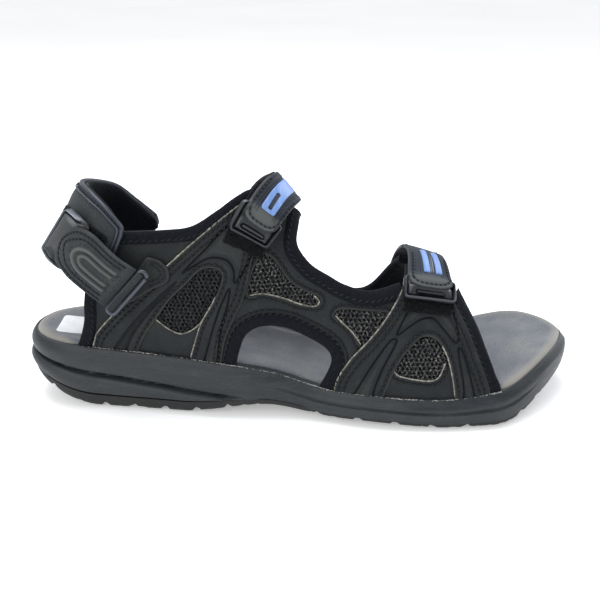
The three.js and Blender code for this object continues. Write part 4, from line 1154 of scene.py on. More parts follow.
def binding(name, line, side, width, node):
    """Tape along an edge. The panels lie on the line's left, or on its right if width is negative."""
    line = evenly(line, TAPE_STEP)
    turns = np.linspace(0, 2 * math.pi, 17)[:-1]
    squared = lambda wave: np.sign(wave) * np.abs(wave) ** 0.72
    inward = width * (0.5 - 0.5 * squared(np.cos(turns)))
    middle, half = (TAPE_TOP + TAPE_BOTTOM) / 2, (TAPE_TOP - TAPE_BOTTOM) / 2
    lift = middle + half * squared(np.sin(turns))
    at = np.arange(len(line)) * TAPE_STEP
    ribs = (0.09 * np.sin(at * 2 * math.pi / TAPE_RIB)
            - 0.16 * np.abs(np.sin(at * math.pi / TAPE_SWELL)) ** 6)
    points = line[:, None] + normals_of(line)[:, None] * inward[None, :, None]
    heights = lift[None] + ribs[:, None] * np.sin(turns)[None]
    vertices = on_side(side)(points.reshape(-1, 2), heights.ravel())
    n, k = len(line), len(turns)
    i, j = np.meshgrid(np.arange(n - 1), np.arange(k), indexing="ij")
    a, b = (i * k + j).ravel(), (i * k + (j + 1) % k).ravel()
    faces = np.vstack([np.stack([a, b, b + k], -1), np.stack([a, b + k, a + k], -1)])
    ends = [[0, m + 1, m] for m in range(1, k - 1)]
    ends += [[(n - 1) * k + v for v in (0, m, m + 1)] for m in range(1, k - 1)]
    faces = outward(vertices, np.vstack([faces, ends]))
    return settle(make_piece(name, vertices, faces, TAPE, sharp=80), "root", "binding_tape", node)


def run_on(line, more):
    """Lengthens a line straight at its start and its end."""
    start, stop = line[0] - line[3], line[-1] - line[-4]
    first = line[0] + start / np.linalg.norm(start) * np.arange(more[0], 0, -0.8)[:, None]
    last = line[-1] + stop / np.linalg.norm(stop) * np.arange(0.8, more[1] + 0.1, 0.8)[:, None]
    return np.vstack([first, line, last])


def bind_side(side):
    """The five bindings of one side, with their slanted stitches."""
    cut, word = PATTERN[side], SIDE_NAME[side]
    rows = []
    for key in ("rear", "topline", "throat", "toe", "arch"):
        way = 1 if key == "arch" else -1
        line = smooth(cut[key])
        if key == "throat":
            line = run_on(line, THROAT_HIDDEN[side])
        line = line[line[:, 1] > rim(line[:, 0]) - 2]
        binding(f"{word}_{key}_tape", line, side, way * TAPE_WIDTH, f"{word}_{key}_binding")
        rows.append(trimmed(shifted(line, way * 5.6)))
    made = sewn(f"{word}_tape_stitches", rows, on_side(side), 4.3, THREAD, 3.3, 2.6, 0.6, slant=32)
    settle(made, "root", "binding_tape")


for foot_side in (OUTER, INNER):
    bind_side(foot_side)
print("bindings: ten tapes", TAPE_WIDTH, "mm wide")

# %% [markdown]
# ## Materials of the straps and the heel
# The free ends are moulded thermoplastic rubber with a satin gloss. Light blue film is welded into the
# tabs. Hook-and-loop tape is woven nylon covered with fine black loops, so it looks like soft fuzz.
# The strap leather is a lighter, bluer copy of the same nubuck: painted sky light, as the straps face up.

# %% Moulded rubber, film, loop tape, piping, label and hidden boards
# Thermoplastic rubber from a polished mould: satin, with a painted highlight on its rims and painted shade
# in its moats.
TPR = surface("thermoplastic_rubber", [(0.3, "#14171b"), (0.7, "#202329")], 7, 0.5, "#0e1014", 0.3,
              (0.27, 0.4), 0.02, edge_tint_and_highlight=("#4a4f59", 0.1, 0.7, 0.5), pressed=("#040507", -0.5, -0.1, 0.9),
              raised=("#6b727e", 0.75, 0.2, 0.7), IOR=1.5, **{"Specular IOR Level": 0.55})
# Welded film with a pearl lacquer: periwinkle, with fine drawn lines.
FILM = surface("pearl_film", [(0.3, "#6284bf"), (0.6, "#7899d2"), (0.8, "#93b0e2")], 6, 1.2, "#54739f", 0.35,
               (0.35, 0.5), 0.02, stretch=(3, 0.4, 0.4), pressed=("#1d222c", -0.35, -0.1, 0.95), IOR=1.5,
               **{"Coat Weight": 0.2, "Coat Roughness": 0.3})
# Brushed nylon loops, black with painted grey glints, tangled.
LOOPS = surface("nylon_loop_tape", [(0.35, "#040507"), (0.6, "#0e1015"), (0.8, "#262a31")], 0.9, 0.6,
                "#010203", 0.5, (0.7, 0.95), 0.4,
                **{"Sheen Weight": 0.1, "Sheen Roughness": 0.3, "Specular IOR Level": 0.25})
# Coated cloth folded over a cord, with a cool satin highlight.
PIPING = surface("coated_piping", [(0.3, "#252833"), (0.7, "#3b4050")], 5, 0.6, "#14161c", 0.4, (0.32, 0.46),
                 0.03, IOR=1.5, **{"Specular IOR Level": 0.55})
# A woven satin label, white, with no lettering.
LABEL = surface("label_satin", [(0.3, "#dcdddd"), (0.7, "#eeeeeb")], 6, 0.5, "#c8c9c9", 0.3, (0.45, 0.6),
                0.04, ribs=0.5, **{"Sheen Weight": 0.1, "Specular IOR Level": 0.3})
# Hidden in the sole: a cold-rolled steel shank, a grey-brown fibre board and charcoal polyurethane foam,
# which also fills the collar.
STEEL = surface("rolled_steel", [(0.3, "#85888c"), (0.7, "#a0a3a6")], 12, 0.6, "#6c6f73", 0.3, (0.3, 0.45),
                0.01, stretch=(0.2, 2, 2), Metallic=1.0)
BOARD = surface("fibre_board", [(0.3, "#6b6255"), (0.7, "#8a8070")], 6, 0.8, "#4c453b", 0.5, (0.85, 0.95),
                0.08, **{"Specular IOR Level": 0.2})
FOAM = surface("cushion_foam", [(0.3, "#26282b"), (0.7, "#34363a")], 9, 0.8, "#141517", 0.5, (0.9, 1.0),
               0.15, **{"Specular IOR Level": 0.1})
# Painted sky light: the straps' nubuck is a lighter, bluer copy of the upper's.
SKY_LIT_STRAP_NUBUCK = nubuck("strap_nubuck_painted_sky_light", "#2c3138", "#3b414a", "#4b515c", 0.3)
COLLAR_NUBUCK = nubuck("collar_nubuck", "#32363a", "#3d4142", "#4b4d4a", 0.25)

# %% [markdown]
# ## The two straps over the foot
# Each strap is sewn to the inner side, crosses the crest and ends in a tab that peels open on the
# outer side. Flat patterns are drawn across and along the strap, from its free end, and bent over the
# foot. The strap's two halves are separate moving bodies. One leather piece runs over the crest, and
# a second runs on to where the strap is sewn to the side.

# %% Where the straps lie
STRAPS = {
    "instep": {
        "rear": [[36, -38.5], [51, -31], [76, -23], [90, -20], [110, -22], [142, -34], [152, -38]],
        "front": [[36, -21], [46, -17.5], [63, -11], [90, -5], [110, -7], [142, -17], [152, -20]],
        "degrees": (40.5, 150), "skew": 0.30,
    },
    "toe": {
        "rear": [[36, 49], [60, 49.5], [90, 51], [120, 50], [142, 49], [152, 49]],
        "front": [[36, 72], [60, 73.5], [90, 72], [120, 72], [142, 71], [152, 71]],
        "degrees": (51.5, 150), "skew": 0.10,
    },
}
STRAP_LAYER, END_LAYER, HOOKS_UNDER, LOOPS_UNDER = (7.3, 9.5), (7.2, 9.6), (6.2, 7.25), (4.6, 5.7)
ROOT_DROP, TONGUE_LIFT = 2.1, 0.85
# Degrees round the foot of the crest's bend, the joint of the leathers, the sewn root and its end.
CREST_AT, JOIN_AT, SEWN_AT, ROOT_END = 88.5, 103, 141, 149
# Half the length over which a strap bends, and its rows of stitches as a share of its half width.
BEND_HALF, SEAM_SHARE = 3.5, 0.76
STRAP_STITCHES = 9.35


def middle_of(strap, degrees):
    return (along(strap["rear"], degrees) + along(strap["front"], degrees)) / 2


def half_width(strap, degrees):
    return (along(strap["front"], degrees) - along(strap["rear"], degrees)) / 2


def measure(strap):
    """Tables of degrees and of length from the free end, along the strap's middle."""
    low, high = strap["degrees"]
    degrees = np.linspace(low - 6, high, 400)
    track = off_foot(middle_of(strap, degrees), degrees, 8.5)
    length = reach_of(track)
    return degrees, length - np.interp(low, degrees, length)


def on_strap(strap):
    """The map from flat [across, along] points to a strap."""
    degrees, length = measure(strap)

    def place(points, distance):
        across, reach = points[:, 0], points[:, 1]
        at = np.interp(reach, length, degrees)
        x = middle_of(strap, at) + across
        at = at + across * strap["skew"] * (1 - step_up(reach, 24, 48))
        return off_foot(x, at, distance - ROOT_DROP * step_up(at, 80, 112))
    return place


def length_at(strap, degrees):
    at, length = measure(strap)
    return float(np.interp(degrees, at, length))


def strip(strap, start, stop, margin=0.0, tongue=0.0, step=1.0):
    """A strap's outline between two lengths. tongue rounds its first end by that many millimetres."""
    at, length = measure(strap)
    reach = np.linspace(start, stop, 40)
    half = half_width(strap, np.interp(reach, length, at)) - margin
    across = np.linspace(-1, 1, 25)
    nose = start + tongue * (1 - np.sqrt(np.clip(1 - np.abs(across) ** 3.2, 0, 1)))
    side = reach > nose[0] + 0.5
    first = np.column_stack([across * half[0], nose])
    right = np.column_stack([half, reach])[side]
    left = np.column_stack([-half, reach])[side][::-1]
    return even_loop(np.vstack([first, right, left]), step)


# %% The moulded end of a tab
def pill(middle, length, width, slant=0.0):
    """A slot's outline with round ends, lying across the strap."""
    turn = np.linspace(0, 2 * math.pi, 40, endpoint=False)
    shape = np.column_stack([np.sign(np.cos(turn)) * (length - width) / 2 + np.cos(turn) * width / 2,
                             np.sin(turn) * width / 2])
    c, s = math.cos(slant), math.sin(slant)
    return shape @ np.array([[c, s], [-s, c]]) + middle


def rounded_box(low, high, radius):
    """A rectangle's outline with round corners."""
    turn = np.linspace(0, math.pi / 2, 8)
    corners = []
    for k, (sx, sy) in enumerate(((1, 1), (-1, 1), (-1, -1), (1, -1))):
        middle = np.array([(high if sx > 0 else low)[0] - sx * radius,
                           (high if sy > 0 else low)[1] - sy * radius])
        angle = turn + k * math.pi / 2
        corners.append(middle + radius * np.column_stack([np.cos(angle), np.sin(angle)]))
    return np.vstack(corners)


def tab_end(name, strap, long, tongue_at, body, node):
    """A frame with a raised rim that gets a painted highlight, a sloping tray that dips under the leather
    into painted shade, and a slot.
    """
    half = float(half_width(strap, strap["degrees"][0] + 4)) + 1.0
    loop = rounded_box((-half, 0), (half, long), 2.4)
    slot = pill((0, tongue_at * 0.58), half * 1.1, 1.9)
    edge = [closed_line(loop)]

    def relief(points):
        gap = distance_to(points, edge)
        rim_up = 0.85 * hump(gap, 0.9, 0.8)
        moat = -0.9 * hump(gap, 1.9, 0.6)
        tray = 0.7 * np.clip((gap - 2.3) / 2.2, 0, 1) - 0.5
        under = -0.7 * step_up(points[:, 1], tongue_at, tongue_at + 2.5) * step_up(gap, 1.6, 2.4)
        slot_gap = distance_to(points, [closed_line(slot)])
        return rim_up + moat + tray + under - 0.8 * hump(slot_gap, 0, 0.55)

    marks = [beside(closed_line(slot), (-0.45, 0, 0.45), 0.6)]
    marks += [beside(edge[0], way * np.array([0.9, 1.4, 1.9, 2.4, 3.2]), 0.7) for way in (1, -1)]
    made = panel(name, [loop], on_strap(strap), END_LAYER, TPR, relief, 0.9, 0.7, marks, (0.25, 0.55))
    return settle(made, body, "moulded_rubber", node)


# %% Fuzz on hook-and-loop tape
def fuzz(name, outline, place, height, count, body, seed=3, long=1.1):
    """Fine bent fibres that stand up from the tape, scattered inside an outline."""
    random = np.random.default_rng(seed)
    low, high = outline.min(0), outline.max(0)
    roots = random.uniform(low, high, (count * 3, 2))
    roots = roots[inside(roots, [outline])][:count]
    n = len(roots)
    base = place(roots, np.full(n, height))
    out = place(roots, np.full(n, height + 1.0)) - base
    lean = random.normal(0, 0.55, (n, 3)) + out
    tip = random.normal(0, 0.8, (n, 3)) + out * 0.3
    size = random.uniform(0.5, 1.0, (n, 1)) * long
    middle = base + lean * size * 0.55
    end = middle + tip * size * 0.5
    ring = np.array([[1, 0, 0], [-0.5, 0.8, 0.3], [-0.5, -0.8, -0.3]]) * 0.075
    vertices = np.concatenate([p[:, None] + ring * s for p, s in ((base, 1), (middle, 1), (end, 0.5))], 1)
    start = np.arange(n)[:, None] * 9
    faces = []
    for k in (0, 3):
        for i in range(3):
            j = (i + 1) % 3
            faces.append(start + np.array([k + i, k + j, k + 3 + j]))
            faces.append(start + np.array([k + i, k + 3 + j, k + 3 + i]))
    faces += [start + np.array([0, 2, 1]), start + np.array([6, 7, 8])]
    made = make_piece(name, vertices.reshape(-1, 3), np.vstack(faces), LOOPS, sharp=180)
    return settle(made, body, "hook_loop_tape")


# %% Building a strap
def drawn(points, lines, depth=0.38, width=0.6):
    """Fine lines pressed along a strap."""
    return -depth * hump(distance_to(points, lines), 0, width)


def across_lines(places, start, stop):
    """Straight lines along a strap at given places across it."""
    return [np.array([[a, start], [a, (start + stop) / 2], [a, stop]]) for a in places]


def leather_strip(name, strap, outline, rows, ribs, lift_until, material):
    """A piece of strap leather with its seams and drawn lines, lifted where it laps the moulding."""
    marks = [beside(line, (-0.7, 0, 0.7)) for line in rows]
    marks += [beside(line, (-0.5, 0, 0.5)) for line in ribs]

    def relief(points):
        height = seam_dip(points, rows, 0.4, 1.0)
        height = height + TONGUE_LIFT * (1 - step_up(points[:, 1], lift_until, lift_until + 5))
        return height + (drawn(points, ribs) if ribs else 0)

    return panel(name, [outline], on_strap(strap), STRAP_LAYER, material, relief, 1.5, 0.9, marks)


def follow(line, strap):
    """Keeps a row at its share of the strap's width as the width changes."""
    at, length = measure(strap)
    half = half_width(strap, np.interp(line[:, 1], length, at))
    return np.column_stack([line[:, 0] * half, line[:, 1]])


def build_strap(word, end_long, ribs_at, tongue_at):
    """One strap: its leather, moulded end, patches, stitches and fuzz."""
    strap = STRAPS[word]
    place = on_strap(strap)
    crest, join, sewn_at, last = (length_at(strap, at) for at in (CREST_AT, JOIN_AT, SEWN_AT, ROOT_END))

    def bend(piece, reach, height, *bodies):
        """Bakes the piece's placement into its mesh. Two points round reach on the strap's middle line are
        worked out but not used, so nothing is bent, and the bodies are not used.
        """
        start, end = (place(np.array([[0.0, reach + d]]), np.array([height]))[0] * MM
                      for d in (BEND_HALF, -BEND_HALF))
        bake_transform(piece)

    edges = (-SEAM_SHARE, SEAM_SHARE)
    rows = [follow(line, strap) for line in across_lines(edges, tongue_at + 4, join)]
    tongue = strip(strap, tongue_at, join, 0.9, 4.5)
    nose = tongue[(tongue[:, 1] < tongue_at + 6)]
    nose = nose[np.argsort(nose[:, 0])]
    rows.append(evenly(nose * [0.86, 1] + [0, 1.9], 0.6))
    ribs = [follow(line, strap) for line in across_lines(ribs_at, tongue_at + 6.5, join)]
    top = leather_strip(f"{word}_strap_leather", strap, tongue, rows, ribs, end_long - 1.5, SKY_LIT_STRAP_NUBUCK)
    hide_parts(f"{word}_strap_tab", f"{word}_strap")
    bend(top, crest, 8.4, f"{word}_strap", f"{word}_tab")
    root_rows = [follow(line, strap) for line in across_lines(edges, join - 3, last - 1)]
    root = leather_strip(f"{word}_strap_root", strap, strip(strap, join - 1.5, last, 0.4), root_rows, [],
                         -10, SKY_LIT_STRAP_NUBUCK)
    bend(root, sewn_at, 6.3, "root", f"{word}_strap")
    tab_end(f"{word}_tab_end_moulding", strap, end_long, tongue_at, f"{word}_tab", f"{word}_tab_end")
    lip = bead(f"{word}_tongue_edge", [nose], place, STRAP_LAYER[1] + TONGUE_LIFT - 0.45, COLLAR_NUBUCK,
               0.32, step=0.7)
    settle(lip, f"{word}_tab", "nubuck")
    under = strip(strap, end_long - 1, crest - 6, 1.6)
    hooks = panel(f"{word}_hook_tape", [under], place, HOOKS_UNDER, LOOPS, spacing=2.0)
    settle(hooks, f"{word}_tab", "hook_loop_tape", f"{word}_hook_patch")
    patch = strip(strap, -6.5, crest - 12, 0.2)
    loops = panel(f"{word}_loop_tape", [patch], place, LOOPS_UNDER, LOOPS, spacing=1.6)
    settle(loops, "root", "hook_loop_tape", f"{word}_loop_patch")
    shown = strip(strap, -6.5, 3, -0.4)
    fuzz(f"{word}_loop_fuzz", shown, place, 5.5, 1500, "root")
    free = [row[row[:, 1] < crest - 4] for row in rows[:2]] + [rows[2]]
    held = [row[row[:, 1] < sewn_at - 4] for row in root_rows]
    for part, stitched, body, height, pitch, long in (
            ("tab", free[:2], "tab", STRAP_STITCHES, 2.6, 2.0),
            ("tongue", free[2:], "tab", STRAP_STITCHES + TONGUE_LIFT, 2.4, 1.8),
            ("strap", held, "strap", STRAP_STITCHES, 2.6, 2.0)):
        made = sewn(f"{word}_{part}_stitches", stitched, place, height, THREAD, pitch, long, 0.8)
        settle(made, f"{word}_{body}", "nubuck")
    print(word, "strap:", round(crest, 1), "mm from its free end to the crest")
    return strap, place, crest


instep, on_instep, instep_crest = build_strap("instep", 15.5, (-0.56, -0.44, 0.44, 0.56), 7.6)
toe, on_toe, toe_crest = build_strap("toe", 13.0, (-0.64, -0.54, -0.44, 0.44, 0.54, 0.64), 6.6)

# %% [markdown]
# The blue inlays are thin film welded on the tabs. The instep has one bar with a slot pressed in
# it, and the toe strap has two bars that lean together. They are drawn flat and have crisp edges.

# %% The blue inlays
FILM_LAYER, SLOT_LAYER = (9.2, 10.05), (9.2, 9.75)


def inlay(name, loop, place, body, node, slots=()):
    marks = [beside(closed_line(slot), (-0.5, -0.2, 0.1, 0.4), 0.45) for slot in slots]

    def relief(points):
        return np.zeros(len(points)) - sum(0.55 * inside(points, [slot]) for slot in slots)

    made = panel(name, [loop], place, FILM_LAYER, FILM, relief, 1.0, 0.4, marks)
    return settle(made, body, "blue_inlay", node)


bar_low = length_at(instep, 55.5)
bar = np.array([[-2.8, bar_low], [3.0, bar_low + 0.6], [1.9, instep_crest - 0.6],
                [-3.7, instep_crest - 0.6]])
slot_middle = (-0.3, bar_low + 7.6)
inlay("instep_blue_bar", even_loop(bar, 0.8), on_instep, "instep_tab", "instep_inlay",
      [pill(slot_middle, 10.5, 1.5, math.radians(94))])
stripe_low = length_at(toe, 67.5)
for place_name, shift, lean in (("rear", -2.4, 0.6), ("front", 3.2, 1.2)):
    stripe = np.array([[-1.6 + lean, stripe_low], [1.7 + lean, stripe_low], [1.5, toe_crest - 1.2],
                       [-1.5, toe_crest - 1.2]]) + [shift, 0]
    inlay(f"toe_blue_bar_{place_name}", even_loop(stripe, 1.0), on_toe, "toe_tab",
          f"toe_inlay_{place_name}")
slot = pill((0.9, stripe_low + 7.5), 15.0, 1.5, math.radians(90))
settle(panel("toe_tab_slot_moulding", [slot], on_toe, SLOT_LAYER, TPR, spacing=0.8), "toe_tab",
       "moulded_rubber")

# %% [markdown]
# ## The heel
# The collar is a padded cushion, so it is simulated. A flat net of the collar is blown up as cloth with
# its sewn edge held, and its two skins become the nubuck shell and the jersey lining. Coated piping
# runs along the top edge. The heel tab is folded round a ring that a sewn patch holds on the side, and it
# closes on a loop patch on the collar.

# %% Bands of the heel
def curve_through(points):
    """A smooth curve through points, with the same number of steps between each pair."""
    p = np.array(points, float)
    p = np.vstack([2 * p[0] - p[1], p, 2 * p[-1] - p[-2]])

    def at(share):
        reach = np.clip(share, 0, 1) * (len(points) - 1)
        k = np.minimum(reach.astype(int), len(points) - 2)
        t = (reach - k)[:, None]
        p0, p1, p2, p3 = p[k], p[k + 1], p[k + 2], p[k + 3]
        gap = [np.linalg.norm(b - a, axis=1)[:, None] ** 0.5 for a, b in ((p0, p1), (p1, p2), (p2, p3))]
        in_run = ((p1 - p0) / gap[0] - (p2 - p0) / (gap[0] + gap[1]) + (p2 - p1) / gap[1]) * gap[1]
        out_run = ((p2 - p1) / gap[1] - (p3 - p1) / (gap[1] + gap[2]) + (p3 - p2) / gap[2]) * gap[1]
        return (p1 + in_run * t + (-3 * p1 + 3 * p2 - 2 * in_run - out_run) * t ** 2
                + (2 * p1 - 2 * p2 + in_run + out_run) * t ** 3)
    return at


def on_band(upper, lower, long, tall):
    """The map from flat [along, up] millimetres to a band between two edge curves."""
    high, low = curve_through(upper), curve_through(lower)

    def place(points, distance):
        share, rise = points[:, 0] / long, (points[:, 1] / tall)[:, None]
        between = lambda s, v: low(s) * (1 - v) + high(s) * v
        beyond = (share - np.clip(share, 0, 1))[:, None]
        middle = np.clip(share, 0.01, 0.99)
        run = unit(between(middle + 0.01, rise) - between(middle - 0.01, rise))
        out = unit(np.cross(high(share) - low(share), run))
        return between(share, rise) + run * beyond * long + out * np.asarray(distance)[:, None]
    return place


COLLAR_LONG, COLLAR_TALL, TAB_LONG, TAB_TALL = 118.0, 32.0, 52.0, 28.0
# Layers of what lies on the collar, on the heel tab and on the outer side.
LOOP_LAYER, KEEPER_LAYER = (0.2, 1.7), (4.6, 6.4)
TAB_LAYER, FRAME_LAYER, HOOK_LAYER = (-1.8, 0.5), (-2.2, 0.3), (-3.1, -1.9)
on_collar = on_band([[-86, -31, 97], [-95, -28, 107], [-104, -20, 113], [-113, -1, 115], [-109, 14, 112],
                     [-99, 25, 106], [-88, 28, 96], [-79, 29, 88]],
                    [[-97, -33, 76], [-106, -30, 77], [-119, -20, 78], [-130, -1, 80], [-119, 19, 79],
                     [-105, 27, 77], [-91, 29, 78], [-79, 30, 81.5]], COLLAR_LONG, COLLAR_TALL)
on_tab = on_band([[-80, -40.5, 80], [-89, -39, 86], [-98, -36, 94], [-107, -30, 101], [-116, -20.5, 105]],
                 [[-97, -40, 61], [-105, -38, 66.5], [-114, -33, 72], [-125, -22, 77.5], [-133, -8, 81]],
                 TAB_LONG, TAB_TALL)

# %% Blowing up the collar
SHELL, LINING = 1.3, 1.0
COLLAR_FRONT, COLLAR_BACK = -1.2, -5.6
# The most a point may move, the cloth's pressure, and how many frames it is blown for.
PUFF, AIR, FRAMES = 2.4, 4, 20


def blown(skin, back, faces, held):
    """Cloth under pressure with its edge held, each point's move capped at PUFF."""
    vertices, sides = with_thickness(skin, back, faces)
    made = make_piece("collar_cushion", vertices, sides, COLLAR_NUBUCK)
    group = made.vertex_groups.new(name="sewn")
    group.add([int(i) for i in np.nonzero(np.concatenate([held, held]))[0]], 1.0, "REPLACE")
    cloth = made.modifiers.new("air", "CLOTH")
    cloth.settings.use_pressure = True
    cloth.settings.uniform_pressure_force = AIR
    cloth.settings.effector_weights.gravity = 0
    cloth.settings.vertex_group_mass = "sewn"
    cloth.settings.mass = 0.15
    for moment in range(1, FRAMES + 1):
        bpy.context.scene.frame_set(moment)
    seen = made.evaluated_get(bpy.context.evaluated_depsgraph_get())
    after = np.array([seen.matrix_world @ v.co for v in seen.data.vertices]) / MM
    bpy.context.scene.frame_set(1)
    bpy.data.objects.remove(made)
    move = after - vertices
    size = np.linalg.norm(move, axis=1, keepdims=True)
    move *= np.minimum(1, PUFF / np.maximum(size, 1e-6))
    return skin + move[:len(skin)], back + move[len(skin):]


def crowned(skin, back, gap):
    out = unit(skin - back)
    rise = (PUFF * 0.8 * (1 - np.exp(-gap / 4)))[:, None]
    return skin + out * rise, back - out * rise


def kept_off(cloth, core, out):
    """The cloth, pushed out to the core wherever it fell inside it."""
    short = ((core - cloth) * out).sum(axis=1, keepdims=True)
    return cloth + out * np.maximum(short, 0)


def collar():
    """The shell and the lining, each a closed skin, sewn together round the edge."""
    loop = rounded_box((0, 0), (COLLAR_LONG, COLLAR_TALL), 5.0)
    points, faces, edges = fill([loop], 2.2, rings=(0.5, 1.2, 2.2, 3.4))
    gap = distance_to(points, edges)
    pull = 1.7 * (1 - np.sqrt(1 - (1 - np.clip(gap / 5, 0, 1)) ** 2))
    seam = 0.5 * hump(gap, 3.0, 0.8)
    skin = on_collar(points, COLLAR_FRONT - pull * 0.6)
    back = on_collar(points, COLLAR_BACK + pull * 0.6)
    out = on_collar(points, np.ones(len(points))) - on_collar(points, np.zeros(len(points)))
    core_skin, core_back = crowned(skin, back, gap)
    skin, back = blown(skin, back, faces, gap < 0.8)
    skin, back = kept_off(skin, core_skin, out), kept_off(back, core_back, -out)
    skin = skin - out * seam[:, None]
    # The sewn line's relief makes the material paint shade along it.
    values = {"edge": np.tile(gap, 2), "relief": -np.tile(seam, 2)}
    shell = make_piece("heel_collar_shell_leather", *with_thickness(skin, skin - out * SHELL, faces),
                       COLLAR_NUBUCK, values=values)
    inner = make_piece("heel_collar_lining_jersey", *with_thickness(back + out * LINING, back, faces),
                       JERSEY, values=values)
    for piece in (shell, inner):
        rounder = piece.modifiers.new("finer", "SUBSURF")
        rounder.levels = rounder.render_levels = 1
    return shell, inner


collar_shell, collar_lining = collar()
settle(collar_shell, "root", "nubuck", "heel_collar_shell")
settle(collar_lining, "root", "lining_knit", "heel_collar_lining")
top_edge = np.array([[0.6, 6], [0.8, 24], [2.2, 29.6], [6, COLLAR_TALL - 0.6], [60, COLLAR_TALL - 0.5],
                     [112, COLLAR_TALL - 0.6], [116, 29], [117.4, 22], [117.4, 6]])
top_edge = smooth(top_edge, 0.8)
inner_line = shifted(top_edge, -2.2)
piping = bead("heel_collar_piping", [top_edge], on_collar, -1.6, PIPING, 0.95, 0.95, 1.2)
settle(piping, "root", "binding_tape")
second = bead("heel_collar_piping_fold", [inner_line], on_collar, 0.1, PIPING, 0.5, 0.7, 1.2)
settle(second, "root", "binding_tape")
settle(sewn("heel_collar_stitches", [shifted(top_edge, -1.4)], on_collar, -0.5, THREAD, 2.6, 1.9, 0.6),
       "root", "nubuck")
print("the collar's skins have", len(collar_shell.data.polygons), "faces each")

# %% The loop patch on the collar
patch_loop = rounded_box((0.06 * COLLAR_LONG, 0.16 * COLLAR_TALL),
                         (0.4 * COLLAR_LONG, 0.66 * COLLAR_TALL), 2.0)
patch = panel("heel_loop_tape", [patch_loop], on_collar, LOOP_LAYER, LOOPS, spacing=1.6)
settle(patch, "root", "hook_loop_tape", "heel_loop_patch")
fuzz("heel_loop_fuzz", patch_loop, on_collar, 1.6, 2600, "root", 5, 0.9)

# %% The ring and its keeper
RING_TOP, RING_FOOT = np.array([-77.2, -38.5, 79.5]), np.array([-96.2, -38.5, 58.3])
RING_LONG = float(np.linalg.norm(RING_TOP - RING_FOOT))
RING_MIDDLE = (RING_TOP + RING_FOOT) / 2
RING_UP = (RING_TOP - RING_FOOT) / RING_LONG
RING_OUT = np.array([0.0, -1.0, 0.0])
RING_FORE = np.cross(RING_UP, RING_OUT) * np.sign(np.cross(RING_UP, RING_OUT)[0])


def on_ring(points, distance):
    """The ring's own plane: [forward, up] from the middle of its bar."""
    return (RING_MIDDLE + points[:, :1] * RING_FORE + points[:, 1:] * RING_UP
            + np.asarray(distance)[:, None] * RING_OUT)


half_ring = RING_LONG / 2 - 0.4
ring_loop = closed_line(rounded_box((0, -half_ring), (4.4, half_ring), 1.8))
ring = bead("heel_ring_bar", [ring_loop], on_ring, 0.0, TPR, 1.05, 1.0, 0.8)
settle(ring, "root", "moulded_rubber", "heel_ring")

keeper_loop = smooth(closed_line(np.array([[-75, 83], [-68.5, 81], [-64.5, 76], [-66, 70.5], [-74, 66.5],
                                           [-87, 58.5], [-91, 62.5], [-83, 72]])), 0.8, True)
keeper_rows = [smooth(row, 0.6) for row in (
    [[-73, 81.3], [-69.6, 80], [-66.6, 76], [-68, 71.8], [-75, 68]],
    [[-73.6, 79.4], [-70.8, 78.2], [-68.6, 75.6], [-69.8, 72.9], [-75.4, 70]])]
on_outer = on_side(OUTER)
keeper = panel("heel_keeper_nubuck", [keeper_loop], on_outer, KEEPER_LAYER, NUBUCK,
               lambda points: seam_dip(points, keeper_rows, 0.35, 0.9), 1.1, 0.8)
settle(keeper, "root", "nubuck", "heel_ring_keeper")
settle(sewn("heel_keeper_stitches", keeper_rows, on_outer, 6.2, THREAD, 2.4, 1.8, 0.65), "root", "nubuck")


def ring_fold():
    """The leather folded round the bar: a C in section, from the outer side round the front."""
    inner, outer = 1.3, 2.7
    turn = np.radians(np.linspace(-8, 200, 19))
    up = np.linspace(-half_ring + 1.4, half_ring - 1.4, 20)
    fade = 1 - 0.16 * (np.abs(up) / half_ring) ** 6

    def skin(radius):
        return np.array([RING_MIDDLE + u * RING_UP
                         + radius * f * (math.cos(t) * RING_OUT + math.sin(t) * RING_FORE)
                         for u, f in zip(up, fade) for t in turn])

    n = len(turn)
    corners = [i * n + j for i in range(len(up) - 1) for j in range(n - 1)]
    faces = np.array([f for a in corners for f in ([a, a + 1, a + n + 1], [a, a + n + 1, a + n])])
    vertices, faces = with_thickness(skin(outer), skin(inner), faces)
    # A relief of -0.25 paints shade over the whole fold.
    values = {"edge": np.full(len(vertices), 3.0), "relief": np.full(len(vertices), -0.25)}
    return make_piece("heel_tab_fold_leather", vertices, faces, COLLAR_NUBUCK, values=values)


settle(ring_fold(), "root", "nubuck")
print("ring", round(RING_LONG, 1), "mm long")

# %% The heel tab
tab_middle = TAB_TALL / 2
tab_loop = evenly(np.vstack([[[-0.6, 0.3], [28, 0.3]], [[38, 2.2], [42, 6.5], [43.6, tab_middle],
                             [42, 21.5], [38, 25.8]], [[28, 27.7], [-0.6, 27.7], [-0.6, 0.3]]]), 0.8)[:-1]


def tab_row(inset, start, far):
    """One U of stitches: along the lower edge, round the far end and back along the upper edge."""
    side = np.array([[start, inset], [18, inset], [29, inset + 0.4], [far - 4, inset + 3.6],
                     [far, tab_middle]])
    other = side[::-1][1:] * [1, -1] + [0, TAB_TALL]
    return smooth(np.vstack([side, other]), 0.6)


tab_rows = [tab_row(2.0, 5, 41.4), tab_row(4.4, 6, 38.8)]


def rib_line(half, start, far):
    """A U whose far end is half an ellipse."""
    turn = np.radians(np.linspace(-90, 90, 13))
    bend = np.column_stack([far - 1.5 * half + 1.5 * half * np.cos(turn), tab_middle + half * np.sin(turn)])
    return evenly(np.vstack([[[start, tab_middle - half]], bend, [[start, tab_middle + half]]]), 0.6)


tab_ribs = [rib_line(6.2, 7, 32), rib_line(2.9, 8, 28)]
tab_marks = [beside(line, (-0.8, 0, 0.8)) for line in tab_rows]
tab_marks += [beside(line, (-1.3, -0.7, 0, 0.7, 1.3)) for line in tab_ribs]


